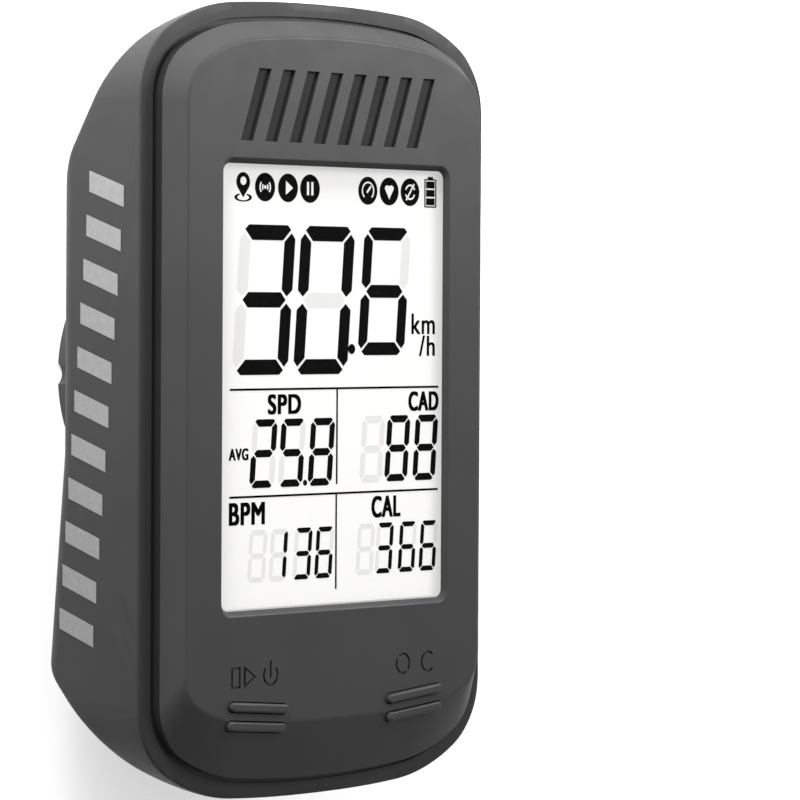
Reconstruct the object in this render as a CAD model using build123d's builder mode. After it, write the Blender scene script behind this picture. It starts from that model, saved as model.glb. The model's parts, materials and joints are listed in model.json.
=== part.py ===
"""Handlebar cycling computer: housing, front cover, display, keys, electronics and quarter-turn mount.

The device lies on its back. +Z points out of the screen, +Y to the device's forward end and +X to the
rider's right. The origin is the centre of the quarter-turn mount's lowest face.
"""

import os
from math import asin, cos, degrees, radians, sin, tan

from build123d import *

# Driving dimensions, in millimetres

BODY_Y = -2.4  # middle of the body, behind the middle of the mount
FACE_Z = 26.0  # flat front face
FOOT_Z = 23.9  # foot of the cover's bevels
LAND_Z = 23.4  # flat front of the housing's rim
RIM_Z = 23.1  # widest line of the housing
LEDGE_Z = 22.3  # ledge that carries the seal
PLATEAU_Z = 5.5  # flat back of the housing
TURRET_Z = 4.0  # ring round the mount plate

FOOT_HALF_WIDTH = 23.6
FOOT_HALF_LENGTH = 38.45
FOOT_RADII = (132.0, 20.0, 6.2)  # end, shoulder and corner
SHOULDER_TURN = 30.0  # how far the outline has turned where the corner begins

FACE_HALF_WIDTH = 22.05
FACE_TOP = 36.75
FACE_BOTTOM = -32.5
FACE_TOP_RADII = (128.0, 18.5, 5.0)
FACE_BOTTOM_RADII = (190.0, 14.0, 3.4)

RIM_GROW = 2.2
GROOVE_GROW = 0.5
DRAFT = 5.0
WALL = 1.7
CAVITY_TOP_Z = 20.9
THROAT_GROW = -2.0
TONGUE_GROW = -2.2
TONGUE_THICKNESS = 1.0
TONGUE_Z = 21.9
BOARD_GROW = -2.3

# Back of the housing: a point of each slope in body coordinates, and its rise along X and along Y
SIDE_X, SIDE_Z, SIDE_RISE = 24.7, 11.5, 0.93
BULGE_Y, BULGE_RISE = -5.0, 0.092
TOP_Y, TOP_Z, TOP_RISE = 33.7, 18.0, 0.687
BOTTOM_Y, BOTTOM_Z, BOTTOM_RISE = -37.0, 18.95, -1.047

# Display stack
WINDOW_Y = 1.4
WINDOW_WIDTH, WINDOW_LENGTH = 33.2, 44.6
WINDOW_RADIUS = 0.9
LIP = 0.5
PLATE_Z = 24.2  # underside of the cover's plate
GLUE, GLUE_MARGIN = 0.1, 0.5
LENS_THICKNESS, LENS_CHAMFER = 0.5, 0.15
LENS_WIDTH, LENS_LENGTH = 37.2, 48.6
GLASS_Z, GLASS_THICKNESS = 23.7, 1.1
GLASS_WIDTH, GLASS_LENGTH = 36.4, 47.6
FRAME_Z = 21.2
FRAME_FLOOR = 0.8
FRAME_WALL = 1.0
GUIDE_THICKNESS = 1.3
SLIP = 0.1  # assembly play each side
SEAL_FLANGE = 0.45
LENS_TOP_Z = FACE_Z - LIP - GLUE
DRIVER_LEDGE = 1.6
FRAME_WIDTH = GLASS_WIDTH + 2 * (FRAME_WALL + SLIP)
FRAME_LENGTH = GLASS_LENGTH + 2 * (FRAME_WALL + SLIP)
GUIDE_Z = FRAME_Z + FRAME_FLOOR
GUIDE_WIDTH, GUIDE_LENGTH = 35.2, 44.0
LED_DEPTH, LED_PITCH = 1.0, 10.0
FLEX_WIDTH, FLEX_THICKNESS, FLEX_BEND_RADIUS = 16.0, 0.12, 0.5
FLEX_SLOT, FLEX_SLOT_WIDTH, FLEX_SLOT_LENGTH = 0.4, 17.0, 3.0
FLEX_START_Y = BODY_Y + WINDOW_Y - GLASS_LENGTH / 2 + 0.2
FLEX_BEND_Y = FLEX_START_Y - 2.6
FLEX_END_Y = FLEX_BEND_Y - 1.4
FLEX_END_Z = 20.9

DRIVER_WIDTH, DRIVER_LENGTH, DRIVER_HEIGHT = 12.0, 1.0, 0.35
LED_WIDTH, LED_HEIGHT, LED_COUNT = 2.0, 1.0, 3
FRAME_PEG_RADIUS, FRAME_PEG_INSET = 1.5, 4.0
FLEX_PLUG_WIDTH, FLEX_PLUG_LENGTH, FLEX_PLUG_HEIGHT = 19.0, 3.2, 1.1

# Board and what stands on it
BOARD_Z, BOARD_THICKNESS = 19.4, 1.0
BOARD_TOP_Z = BOARD_Z + BOARD_THICKNESS
BOARD_FRONT_Y, BOARD_REAR_Y = 32.3, -34.6
CHIP_CORNER = 0.2
PROCESSOR_CENTRE, PROCESSOR_SIDE, PROCESSOR_HEIGHT = (-8.0, 4.0), 8.0, 0.9
SHIELD_SIDE, SHIELD_HEIGHT, SHIELD_WALL = 14.0, 1.5, 0.25
SHIELD_CORNER = 0.6
PASSIVES_CENTRE, PASSIVES_ROWS, PASSIVES_COLUMNS = (15.0, 8.0), 5, 2
PASSIVE_PITCH_X, PASSIVE_PITCH_Y = 2.0, 2.6
PASSIVE_WIDTH, PASSIVE_LENGTH, PASSIVE_HEIGHT = 0.9, 1.6, 0.7
BUZZER_X, BUZZER_RADIUS, BUZZER_HEIGHT = 11.8, 2.7, 2.0
SOUND_HOLE_RADIUS, SOUND_HOLE_DEPTH = 0.6, 1.2
ANTENNA_WIDTH, ANTENNA_LENGTH, ANTENNA_HEIGHT = 13.0, 5.0, 3.2
PATCH_MARGIN, PATCH_THICKNESS, FEED_RADIUS = 1.0, 0.1, 0.5
TOP_PARTS_Y = 29.4  # row of parts in front of the display

# Battery and its leads
BATTERY_Y, BATTERY_Z = -1.0, 10.8
BATTERY_WIDTH, BATTERY_LENGTH, BATTERY_THICKNESS = 34.0, 38.0, 6.5
BATTERY_CORNER, BATTERY_EDGE = 1.5, 0.8
BATTERY_PAD_SIDE = 20.0
LEAD_X, LEAD_PITCH, LEAD_RADIUS, LEAD_LOW_Z = -11.0, 2.0, 0.5, 15.5
LEAD_TURN_Y, LEAD_PLUG_Y, LEAD_BEND = 21.0, 15.0, 0.8
BATTERY_PLUG_WIDTH, BATTERY_PLUG_LENGTH, BATTERY_PLUG_HEIGHT = 5.0, 3.4, 1.6

# Keys
KEY_X, KEY_Y = 11.85, -31.65
KEY_TILT = 5.0
KEY_TRAVEL = 0.4  # of the key and of the switch plunger under it
RIB_LENGTH, RIB_WIDTH, RIB_PITCH = 8.4, 0.95, 1.9
UPPER_RIB_Z, LOWER_RIB_Z = 26.5, 26.25
PAD_TOP_Z, PAD_THICKNESS = 23.95, 0.75
RIB_GAP = 0.12
KEY_WIDTH, KEY_LENGTH, KEY_CORNER = 10.0, 5.2, 1.5
KEY_GAP = 0.1
KEY_BOSS_RADIUS = 1.5
KEY_CROWN = 0.25
PLUNGER_RADIUS, PLUNGER_LENGTH = 1.1, 1.3
SWITCH_WIDTH, SWITCH_LENGTH, SWITCH_HEIGHT, SWITCH_CORNER = 6.0, 3.6, 1.5, 0.4

# Debossed row of slanted bars over the display
BAR_COUNT, BAR_PITCH, BAR_Y, BAR_DEPTH = 8, 3.55, 29.6, 0.3
BAR_WIDTH, BAR_LENGTH, BAR_SLANT = 1.7, 7.2, 70.0
BAR_LEAN = BAR_LENGTH / tan(radians(BAR_SLANT))

# Debossed legends over the keys
LEGEND_DEPTH, STROKE, LEGEND_RADIUS = 0.2, 0.24, 1.0
LEGEND_Y = -27.5
PAUSE_WIDTH, PAUSE_HEIGHT = 1.35, 2.15
PLAY_HEIGHT, PLAY_SLOPE = 2.3, 2.1  # upright side and the two sloping sides
PLAY_HOLLOW = 0.65  # size of the hollow inside against the whole
POWER_BAR_Y, POWER_BAR_LENGTH = 0.6, 1.75
PAUSE_X, PLAY_X, POWER_X = -14.95, -12.95, -9.9
LEGEND_ARCS = (
    (POWER_X, ((135, 270),)),
    (10.15, ((-40, 165), (150, 150))),
    (14.1, ((45, 270),)),
)
PLUNGER_TOP_Z = 22.6
SWITCH_WELL = BOARD_TOP_Z + SWITCH_HEIGHT - PLUNGER_TOP_Z + PLUNGER_LENGTH + KEY_TRAVEL + SLIP

# Fasteners
CASE_SCREWS = ((-19.3, 30.0), (19.3, 30.0), (-19.3, -29.0), (19.3, -29.0))
CASE_SEAT_Z = 18.0  # under the heads of the case screws
CASE_SPLIT_Z = 19.3  # where the cover's posts stand on the housing's posts
BOARD_SCREWS = ((-19.2, 12.0), (19.2, 12.0), (-19.2, -14.0), (19.2, -14.0))

CASE_POST_RADIUS = 3.2
COVER_POST_RADIUS = 2.2
CASE_SINK_RADIUS = 2.2
CASE_HEAD_RADIUS, CASE_HEAD = 1.9, 1.4
CASE_SCREW_END_Z = 24.0
SCREW_RADIUS = 1.0
SCREW_HEAD_RADIUS = 2.0
BOARD_POST_RADIUS = 2.2
BOARD_SCREW_RADIUS = 0.8
BOARD_HEAD_RADIUS, BOARD_HEAD = 1.5, 0.8
BOARD_SCREW_BITE = 4.0
SLOT_LENGTH, SLOT_WIDTH, SLOT_DEPTH = 2.0, 0.45, 0.6  # cross slots of the case and mount screws
BOARD_SLOT_LENGTH, BOARD_SLOT_WIDTH, BOARD_SLOT_DEPTH = 1.5, 0.35, 0.4

# Port on the sloping end of the back
PORT_Y = -29.0
PORT_Z = BOTTOM_Z + BOTTOM_RISE * (PORT_Y - BOTTOM_Y)
POCKET_DEPTH = 1.3
FLAP_THICKNESS = 1.2
FLAP_WIDTH = 14.4
FLAP_LOW_Y, HINGE_Y = -3.6, 3.7
FLAP_GAP = 0.15
FLAP_CORNER = 1.2
POCKET_LOW_Y = FLAP_LOW_Y - FLAP_GAP
POCKET_HIGH_Y = 6.0
ANCHOR_LOW_Y = HINGE_Y + FLAP_THICKNESS / 2 + FLAP_GAP
PORT_WIDTH, PORT_HEIGHT, PORT_CORNER, PORT_DEPTH = 8.6, 3.6, 1.0, 6.0
PORT_BLOCK_Y, PORT_BLOCK_WIDTH, PORT_BLOCK_LENGTH = 1.1, 17.4, 11.5
PLUG_WIDTH, PLUG_HEIGHT, PLUG_DEPTH, PLUG_CORNER, PLUG_TAPER = 7.4, 2.2, 1.2, 0.6, 6.0
GRIP_Y, GRIP_LENGTH, GRIP_WIDTH, GRIP_DEPTH = FLAP_LOW_Y + 1.1, 5.0, 0.8, 0.3
SOCKET_DEPTH_BELOW = 3.0  # from the outer surface to the mouth of the socket
SOCKET_WIDTH, SOCKET_HEIGHT, SOCKET_DEPTH = 7.6, 2.9, 3.9
SOCKET_WALL, SOCKET_CORNER, SOCKET_FLOOR = 0.3, 0.6, 0.4
BLADE_WIDTH, BLADE_HEIGHT, BLADE_SHIFT, BLADE_BACK = 4.2, 0.6, 0.35, 0.3
USB_BOARD_WIDTH, USB_BOARD_THICKNESS = 11.0, 0.8
USB_BOARD_BACK, USB_BOARD_PAST = 0.2, 0.8  # behind the socket's mouth, and past its far end

# Quarter-turn mount
TURRET_RADIUS = 17.2
PLATE_RADIUS = 15.5
PLATE_THICKNESS = 1.5
PLATE_TOP_Z = TURRET_Z + PLATE_THICKNESS
NOTCH_RADIUS, NOTCH_OFFSET = 1.3, 0.7
NECK_RADIUS = 12.45
TAB_RADIUS, TAB_WIDTH, TAB_THICKNESS = 14.7, 11.4, 1.8
DISH_RADIUS, DISH_DEPTH = 9.8, 1.6
MOUNT_SCREW_CIRCLE = 6.8
MOUNT_SCREW_END_Z = 8.8
MOUNT_FLOOR_Z = 9.8


def level(z):
    """Plan plane of the body at a height."""
    return Plane((0, BODY_Y, z))


def end_curve(end_y, half_width, radii):
    """Right half of one rounded end: three tangent arcs from the middle round to the side."""
    wide, shoulder, corner = radii
    reach = half_width - corner - (shoulder - corner) * sin(radians(SHOULDER_TURN))
    first_turn = degrees(asin(reach / (wide - shoulder)))
    way = -1 if end_y > 0 else 1
    end = JernArc((0, end_y), (1, 0), wide, way * first_turn)
    bend = JernArc(end @ 1, end % 1, shoulder, way * (SHOULDER_TURN - first_turn))
    return JernArc(bend @ 1, bend % 1, corner, way * (90 - SHOULDER_TURN))


def plan(half_width, top, bottom, top_radii, bottom_radii):
    """Closed body outline from its half width, its two ends and their radii."""
    with BuildSketch() as sketch:
        with BuildLine():
            upper = end_curve(top, half_width, top_radii)
            lower = end_curve(bottom, half_width, bottom_radii)
            Line(upper @ 1, lower @ 1)
            mirror(about=Plane.YZ)
        make_face()
    return sketch.sketch


def foot_plan(grow=0.0):
    """Outline of the cover's foot, grown or shrunk evenly."""
    half_length = FOOT_HALF_LENGTH + grow
    grown = tuple(radius + grow for radius in FOOT_RADII)
    return plan(FOOT_HALF_WIDTH + grow, half_length, -half_length, grown, grown)


def face_plan():
    """Outline of the flat face between the cover's bevels."""
    return plan(FACE_HALF_WIDTH, FACE_TOP, FACE_BOTTOM, FACE_TOP_RADII, FACE_BOTTOM_RADII)


def back_slope(x, y, z, rise_x, rise_y, inset):
    """Plane of one slope of the back, facing out, moved in by a wall thickness."""
    slope = Plane((x, BODY_Y + y, z), z_dir=(rise_x, rise_y, -1))
    return slope.offset(-inset)


def side_slopes(inset, rise_y):
    """The two side slopes of the back, mirror images of each other."""
    return [
        back_slope(way * SIDE_X, BULGE_Y, SIDE_Z, way * SIDE_RISE, rise_y, inset) for way in (-1, 1)
    ]


def hull(grow, top_z, inset):
    """Closed form of the housing's outside, or of its cavity when it is drawn smaller."""
    floor_z = PLATEAU_Z + inset
    bottom_slope = back_slope(0, BOTTOM_Y, BOTTOM_Z, 0, BOTTOM_RISE, inset)
    top_slope = back_slope(0, TOP_Y, TOP_Z, 0, TOP_RISE, inset)
    with BuildPart() as bulge:
        with BuildSketch(level(top_z)):
            add(foot_plan(grow))
        extrude(amount=floor_z - top_z, taper=DRAFT)
        for slope in [bottom_slope, *side_slopes(inset, BULGE_RISE)]:
            split(bisect_by=slope, keep=Keep.BOTTOM)
        split(bisect_by=Plane((0, BODY_Y + BULGE_Y, 0), z_dir=(0, 1, 0)), keep=Keep.BOTTOM)
    with BuildPart() as form:
        with BuildSketch(level(top_z)):
            add(foot_plan(grow))
        extrude(amount=floor_z - top_z, taper=DRAFT)
        for slope in [top_slope, bottom_slope, *side_slopes(inset, 0)]:
            split(bisect_by=slope, keep=Keep.BOTTOM)
        add(bulge.part)
    return form.part


def port_plane(depth=0.0):
    """Plane of the port on the bottom slope, facing out, at a depth below the surface."""
    surface = Plane((0, BODY_Y + PORT_Y, PORT_Z), x_dir=(1, 0, 0), z_dir=(0, BOTTOM_RISE, -1))
    return surface.offset(-depth)


def key_plane(side, z):
    """Plane of one key, tilted in plan to follow the cover's lower edge."""
    turn = radians(side * KEY_TILT)
    return Plane((side * KEY_X, BODY_Y + KEY_Y, z), x_dir=(cos(turn), sin(turn), 0))


def flap_profile():
    """Section of the rubber flap across its hinge, in the body's YZ plane."""
    surface = port_plane()
    corners = [
        surface.from_local_coords((0, y, z))
        for y, z in (
            (FLAP_LOW_Y, 0),
            (HINGE_Y, 0),
            (HINGE_Y + FLAP_THICKNESS / 2, -FLAP_THICKNESS / 2),
            (HINGE_Y, -FLAP_THICKNESS),
            (FLAP_LOW_Y, -FLAP_THICKNESS),
        )
    ]
    outer_low, outer_hinge, knuckle, inner_hinge, inner_low = [(c.Y, c.Z) for c in corners]
    with BuildSketch() as section:
        with BuildLine():
            Line(outer_low, outer_hinge)
            ThreePointArc(outer_hinge, knuckle, inner_hinge)
            Polyline(inner_hinge, inner_low, outer_low)
        make_face()
    return section.sketch


def cross_slot(length, width):
    """Sketch the cross slot of a screw head at each place of the sketch that calls it."""
    Rectangle(length, width)
    Rectangle(width, length)


def finish(builder, name):
    """Label a finished piece and write it as its own STEP file."""
    builder.part.label = name
    export_step(builder.part, f"parts/{name}.step")


os.makedirs("parts", exist_ok=True)

# Rear housing: outer form, rim, cavity, posts, mount turret and port pocket

outer_form = hull(RIM_GROW, RIM_Z, 0)

with BuildPart() as posts:
    with BuildSketch(level(PLATEAU_Z)):
        with Locations(*CASE_SCREWS):
            Circle(CASE_POST_RADIUS)
    extrude(amount=CASE_SPLIT_Z - PLATEAU_Z)
    with BuildSketch(level(PLATEAU_Z)):
        with Locations(*BOARD_SCREWS):
            Circle(BOARD_POST_RADIUS)
    extrude(amount=BOARD_Z - PLATEAU_Z)
    with BuildSketch(port_plane(POCKET_DEPTH)):
        with Locations((0, PORT_BLOCK_Y)):
            Rectangle(PORT_BLOCK_WIDTH, PORT_BLOCK_LENGTH)
    extrude(amount=-(SOCKET_DEPTH_BELOW - POCKET_DEPTH))
    add(outer_form, mode=Mode.INTERSECT)

with BuildPart() as rear_housing:
    add(outer_form)
    with BuildSketch(level(RIM_Z)):
        add(foot_plan(RIM_GROW))
    extrude(amount=LAND_Z - RIM_Z, taper=45)
    add(hull(0, CAVITY_TOP_Z, WALL), mode=Mode.SUBTRACT)
    with BuildSketch(level(CAVITY_TOP_Z)):
        add(foot_plan(THROAT_GROW))
    extrude(amount=LAND_Z - CAVITY_TOP_Z, mode=Mode.SUBTRACT)
    with BuildSketch(level(LEDGE_Z)):
        add(foot_plan(GROOVE_GROW))
    extrude(amount=LAND_Z - LEDGE_Z, mode=Mode.SUBTRACT)
    add(posts.part)
    with BuildSketch(Plane.XY.offset(TURRET_Z)):
        Circle(TURRET_RADIUS)
    extrude(amount=MOUNT_FLOOR_Z - TURRET_Z)
    with BuildSketch(Plane.XY.offset(TURRET_Z)):
        Circle(PLATE_RADIUS + SLIP)
    extrude(amount=PLATE_THICKNESS, mode=Mode.SUBTRACT)
    with Locations(Plane.XY.offset(PLATE_TOP_Z)):
        with PolarLocations(MOUNT_SCREW_CIRCLE, 4, start_angle=45):
            Hole(SCREW_RADIUS, depth=MOUNT_SCREW_END_Z - PLATE_TOP_Z)
    with BuildSketch(level(0)):
        with Locations(*CASE_SCREWS):
            Circle(CASE_SINK_RADIUS)
    extrude(amount=CASE_SEAT_Z, mode=Mode.SUBTRACT)
    with BuildSketch(level(CASE_SEAT_Z)):
        with Locations(*CASE_SCREWS):
            Circle(SCREW_RADIUS + SLIP)
    extrude(amount=CASE_SPLIT_Z - CASE_SEAT_Z, mode=Mode.SUBTRACT)
    with BuildSketch(level(BOARD_Z)):
        with Locations(*BOARD_SCREWS):
            Circle(BOARD_SCREW_RADIUS)
    extrude(amount=-BOARD_SCREW_BITE, mode=Mode.SUBTRACT)
    with BuildSketch(port_plane(POCKET_DEPTH)):
        with Locations((0, (POCKET_LOW_Y + POCKET_HIGH_Y) / 2)):
            RectangleRounded(FLAP_WIDTH + 2 * FLAP_GAP, POCKET_HIGH_Y - POCKET_LOW_Y, FLAP_CORNER)
    extrude(amount=2 * POCKET_DEPTH, mode=Mode.SUBTRACT)
    with BuildSketch(port_plane(POCKET_DEPTH)):
        RectangleRounded(PORT_WIDTH, PORT_HEIGHT, PORT_CORNER)
    extrude(amount=-PORT_DEPTH, mode=Mode.SUBTRACT)
finish(rear_housing, "rear_housing")

# Front cover: bevelled plate with the display window, key slots, legends, tongue and screw posts

with BuildPart() as front_cover:
    with BuildSketch(level(FOOT_Z)):
        add(foot_plan())
    with BuildSketch(level(FACE_Z)):
        add(face_plan())
    loft(ruled=True)
    with BuildSketch(level(FOOT_Z)):
        add(foot_plan(TONGUE_GROW))
    extrude(amount=TONGUE_Z - FOOT_Z)
    with BuildSketch(level(TONGUE_Z)):
        add(foot_plan(TONGUE_GROW - TONGUE_THICKNESS))
    extrude(amount=PLATE_Z - TONGUE_Z, mode=Mode.SUBTRACT)
    with BuildSketch(level(PLATE_Z)):
        with Locations(*CASE_SCREWS):
            Circle(COVER_POST_RADIUS)
    extrude(amount=CASE_SPLIT_Z - PLATE_Z)
    with BuildSketch(level(CASE_SPLIT_Z)):
        with Locations(*CASE_SCREWS):
            Circle(SCREW_RADIUS)
    extrude(amount=CASE_SCREW_END_Z - CASE_SPLIT_Z, mode=Mode.SUBTRACT)
    with BuildSketch(level(PLATE_Z)):
        with Locations((0, WINDOW_Y)):
            Rectangle(LENS_WIDTH + 2 * SLIP, LENS_LENGTH + 2 * SLIP)
    extrude(amount=FACE_Z - LIP - PLATE_Z, mode=Mode.SUBTRACT)
    with BuildSketch(level(FACE_Z - LIP)):
        with Locations((0, WINDOW_Y)):
            RectangleRounded(WINDOW_WIDTH, WINDOW_LENGTH, WINDOW_RADIUS)
    extrude(amount=LIP, taper=-45, mode=Mode.SUBTRACT)
    for side in (-1, 1):
        for rib_y in (RIB_PITCH / 2, -RIB_PITCH / 2):
            with BuildSketch(key_plane(side, PAD_TOP_Z)):
                with Locations((0, rib_y)):
                    SlotOverall(RIB_LENGTH + 2 * RIB_GAP, RIB_WIDTH + 2 * RIB_GAP)
            extrude(amount=FACE_Z - PAD_TOP_Z, mode=Mode.SUBTRACT)
    with BuildSketch(level(FACE_Z)):
        with Locations((PAUSE_X, LEGEND_Y)):
            Rectangle(PAUSE_WIDTH, PAUSE_HEIGHT)
            Rectangle(PAUSE_WIDTH - 2 * STROKE, PAUSE_HEIGHT - 2 * STROKE, mode=Mode.SUBTRACT)
        with Locations((PLAY_X, LEGEND_Y)):
            for size, mode in ((1.0, Mode.ADD), (PLAY_HOLLOW, Mode.SUBTRACT)):
                Triangle(
                    a=size * PLAY_HEIGHT,
                    b=size * PLAY_SLOPE,
                    c=size * PLAY_SLOPE,
                    align=(Align.CENTER, Align.CENTER),
                    rotation=-90,
                    mode=mode,
                )
    extrude(amount=-LEGEND_DEPTH, mode=Mode.SUBTRACT)
    for centre_x, arcs in LEGEND_ARCS:
        with BuildSketch(level(FACE_Z)):
            with BuildLine():
                for first_angle, sweep_angle in arcs:
                    CenterArc((centre_x, LEGEND_Y), LEGEND_RADIUS, first_angle, sweep_angle)
            trace(line_width=STROKE)
        extrude(amount=-LEGEND_DEPTH, mode=Mode.SUBTRACT)
    with BuildSketch(level(FACE_Z)):
        with Locations((POWER_X, LEGEND_Y + POWER_BAR_Y)):
            Rectangle(STROKE, POWER_BAR_LENGTH)
    extrude(amount=-LEGEND_DEPTH, mode=Mode.SUBTRACT)
    with BuildSketch(level(FACE_Z)):
        with Locations((0, BAR_Y)):
            with GridLocations(BAR_PITCH, 0, BAR_COUNT, 1):
                Trapezoid(BAR_WIDTH + BAR_LEAN, BAR_LENGTH, BAR_SLANT, 180 - BAR_SLANT)
    extrude(amount=-BAR_DEPTH, mode=Mode.SUBTRACT)
finish(front_cover, "front_cover")

# Seal between cover and housing: a ring under the cover's foot with a thin flange out to the rim

with BuildPart() as housing_seal:
    with BuildSketch(level(LEDGE_Z)):
        add(foot_plan(-SLIP))
        add(foot_plan(THROAT_GROW), mode=Mode.SUBTRACT)
    extrude(amount=FOOT_Z - LEDGE_Z)
    with BuildSketch(level(LEDGE_Z)):
        add(foot_plan(GROOVE_GROW))
        add(foot_plan(THROAT_GROW), mode=Mode.SUBTRACT)
    extrude(amount=SEAL_FLANGE)
finish(housing_seal, "housing_seal")

# Display stack

with BuildPart() as lens_adhesive:
    with BuildSketch(level(FACE_Z - LIP - GLUE)):
        with Locations((0, WINDOW_Y)):
            Rectangle(LENS_WIDTH, LENS_LENGTH)
            RectangleRounded(
                WINDOW_WIDTH + 2 * GLUE_MARGIN,
                WINDOW_LENGTH + 2 * GLUE_MARGIN,
                WINDOW_RADIUS,
                mode=Mode.SUBTRACT,
            )
    extrude(amount=GLUE)
finish(lens_adhesive, "lens_adhesive")

with BuildPart() as display_lens:
    with BuildSketch(level(LENS_TOP_Z)):
        with Locations((0, WINDOW_Y)):
            Rectangle(LENS_WIDTH, LENS_LENGTH)
    extrude(amount=-LENS_THICKNESS)
    chamfer(display_lens.edges().group_by(Axis.Z)[-1], LENS_CHAMFER)
finish(display_lens, "display_lens")

with BuildPart() as lcd_glass:
    with BuildSketch(level(GLASS_Z)):
        with Locations((0, WINDOW_Y)):
            Rectangle(GLASS_WIDTH, GLASS_LENGTH)
    extrude(amount=GLASS_THICKNESS)
    with BuildSketch(level(GLASS_Z + GLASS_THICKNESS / 2)):
        with Locations((0, WINDOW_Y - GLASS_LENGTH / 2 + DRIVER_LEDGE / 2)):
            Rectangle(GLASS_WIDTH, DRIVER_LEDGE)
    extrude(amount=GLASS_THICKNESS, mode=Mode.SUBTRACT)
finish(lcd_glass, "lcd_glass")

with BuildPart() as display_driver:
    with BuildSketch(level(GLASS_Z + GLASS_THICKNESS / 2)):
        with Locations((0, WINDOW_Y - GLASS_LENGTH / 2 + DRIVER_LEDGE / 2)):
            Rectangle(DRIVER_WIDTH, DRIVER_LENGTH)
    extrude(amount=DRIVER_HEIGHT)
finish(display_driver, "display_driver")

with BuildPart() as backlight_guide:
    with BuildSketch(level(GUIDE_Z)):
        with Locations((0, WINDOW_Y)):
            Rectangle(GUIDE_WIDTH, GUIDE_LENGTH)
    extrude(amount=GUIDE_THICKNESS)
finish(backlight_guide, "backlight_guide")

with BuildPart() as backlight_leds:
    with BuildSketch(level(GUIDE_Z)):
        with Locations((0, WINDOW_Y + GUIDE_LENGTH / 2 + LED_DEPTH / 2)):
            with GridLocations(LED_PITCH, 0, LED_COUNT, 1):
                Rectangle(LED_WIDTH, LED_DEPTH)
    extrude(amount=LED_HEIGHT)
finish(backlight_leds, "backlight_leds")

with BuildPart() as display_frame:
    with BuildSketch(level(FRAME_Z)):
        with Locations((0, WINDOW_Y)):
            RectangleRounded(FRAME_WIDTH, FRAME_LENGTH, FRAME_WALL)
    extrude(amount=PLATE_Z - FRAME_Z)
    with BuildSketch(level(GUIDE_Z)):
        with Locations((0, WINDOW_Y)):
            Rectangle(GUIDE_WIDTH + 2 * SLIP, GUIDE_LENGTH + 2 * LED_DEPTH + 2 * SLIP)
    extrude(amount=PLATE_Z - GUIDE_Z, mode=Mode.SUBTRACT)
    with BuildSketch(level(GLASS_Z)):
        with Locations((0, WINDOW_Y)):
            Rectangle(GLASS_WIDTH + 2 * SLIP, GLASS_LENGTH + 2 * SLIP)
    extrude(amount=PLATE_Z - GLASS_Z, mode=Mode.SUBTRACT)
    with BuildSketch(level(GLASS_Z - FLEX_SLOT)):
        with Locations((0, WINDOW_Y - FRAME_LENGTH / 2)):
            Rectangle(FLEX_SLOT_WIDTH, FLEX_SLOT_LENGTH)
    extrude(amount=PLATE_Z - GLASS_Z + FLEX_SLOT, mode=Mode.SUBTRACT)
    with BuildSketch(level(BOARD_TOP_Z)):
        with Locations((0, WINDOW_Y)):
            with GridLocations(FRAME_WIDTH - 2 * FRAME_PEG_INSET, FRAME_LENGTH - 2 * FRAME_PEG_INSET, 2, 2):
                Circle(FRAME_PEG_RADIUS)
    extrude(amount=FRAME_Z - BOARD_TOP_Z)
finish(display_frame, "display_frame")

with BuildPart() as lcd_flex:
    with BuildSketch(Plane.YZ.offset(-FLEX_WIDTH / 2)):
        with BuildLine():
            FilletPolyline(
                (FLEX_START_Y, GLASS_Z - FLEX_THICKNESS / 2),
                (FLEX_BEND_Y, GLASS_Z - FLEX_THICKNESS / 2),
                (FLEX_BEND_Y, FLEX_END_Z),
                (FLEX_END_Y, FLEX_END_Z),
                radius=FLEX_BEND_RADIUS,
            )
        trace(line_width=FLEX_THICKNESS)
    extrude(amount=FLEX_WIDTH)
finish(lcd_flex, "lcd_flex")

with BuildPart() as flex_connector:
    with BuildSketch(Plane((0, FLEX_END_Y - FLEX_PLUG_LENGTH / 2, BOARD_TOP_Z))):
        Rectangle(FLEX_PLUG_WIDTH, FLEX_PLUG_LENGTH)
    extrude(amount=FLEX_PLUG_HEIGHT)
finish(flex_connector, "flex_connector")

# Main board and what it carries

with BuildPart() as main_board:
    with BuildSketch(level(BOARD_Z)):
        add(plan(FOOT_HALF_WIDTH + BOARD_GROW, BOARD_FRONT_Y, BOARD_REAR_Y, FOOT_RADII, FOOT_RADII))
        with Locations(*CASE_SCREWS):
            Circle(COVER_POST_RADIUS + 2 * SLIP, mode=Mode.SUBTRACT)
        with Locations(*BOARD_SCREWS):
            Circle(BOARD_SCREW_RADIUS, mode=Mode.SUBTRACT)
    extrude(amount=BOARD_THICKNESS)
finish(main_board, "main_board")

with BuildPart() as board_screws:
    with BuildSketch(level(BOARD_TOP_Z)):
        with Locations(*BOARD_SCREWS):
            Circle(BOARD_HEAD_RADIUS)
    extrude(amount=BOARD_HEAD)
    with BuildSketch(level(BOARD_TOP_Z)):
        with Locations(*BOARD_SCREWS):
            Circle(BOARD_SCREW_RADIUS)
    extrude(amount=-(BOARD_THICKNESS + BOARD_SCREW_BITE))
    with BuildSketch(level(BOARD_TOP_Z + BOARD_HEAD)):
        with Locations(*BOARD_SCREWS):
            cross_slot(BOARD_SLOT_LENGTH, BOARD_SLOT_WIDTH)
    extrude(amount=-BOARD_SLOT_DEPTH, mode=Mode.SUBTRACT)
finish(board_screws, "board_screws")


def board_block(name, centre, width, length, height, below=True):
    """A plain electronic part on the board: a block with eased corners."""
    plane = level(BOARD_Z) if below else level(BOARD_TOP_Z)
    with BuildPart() as block:
        with BuildSketch(plane):
            with Locations(centre):
                RectangleRounded(width, length, CHIP_CORNER)
        extrude(amount=-height if below else height)
    finish(block, name)


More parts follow.
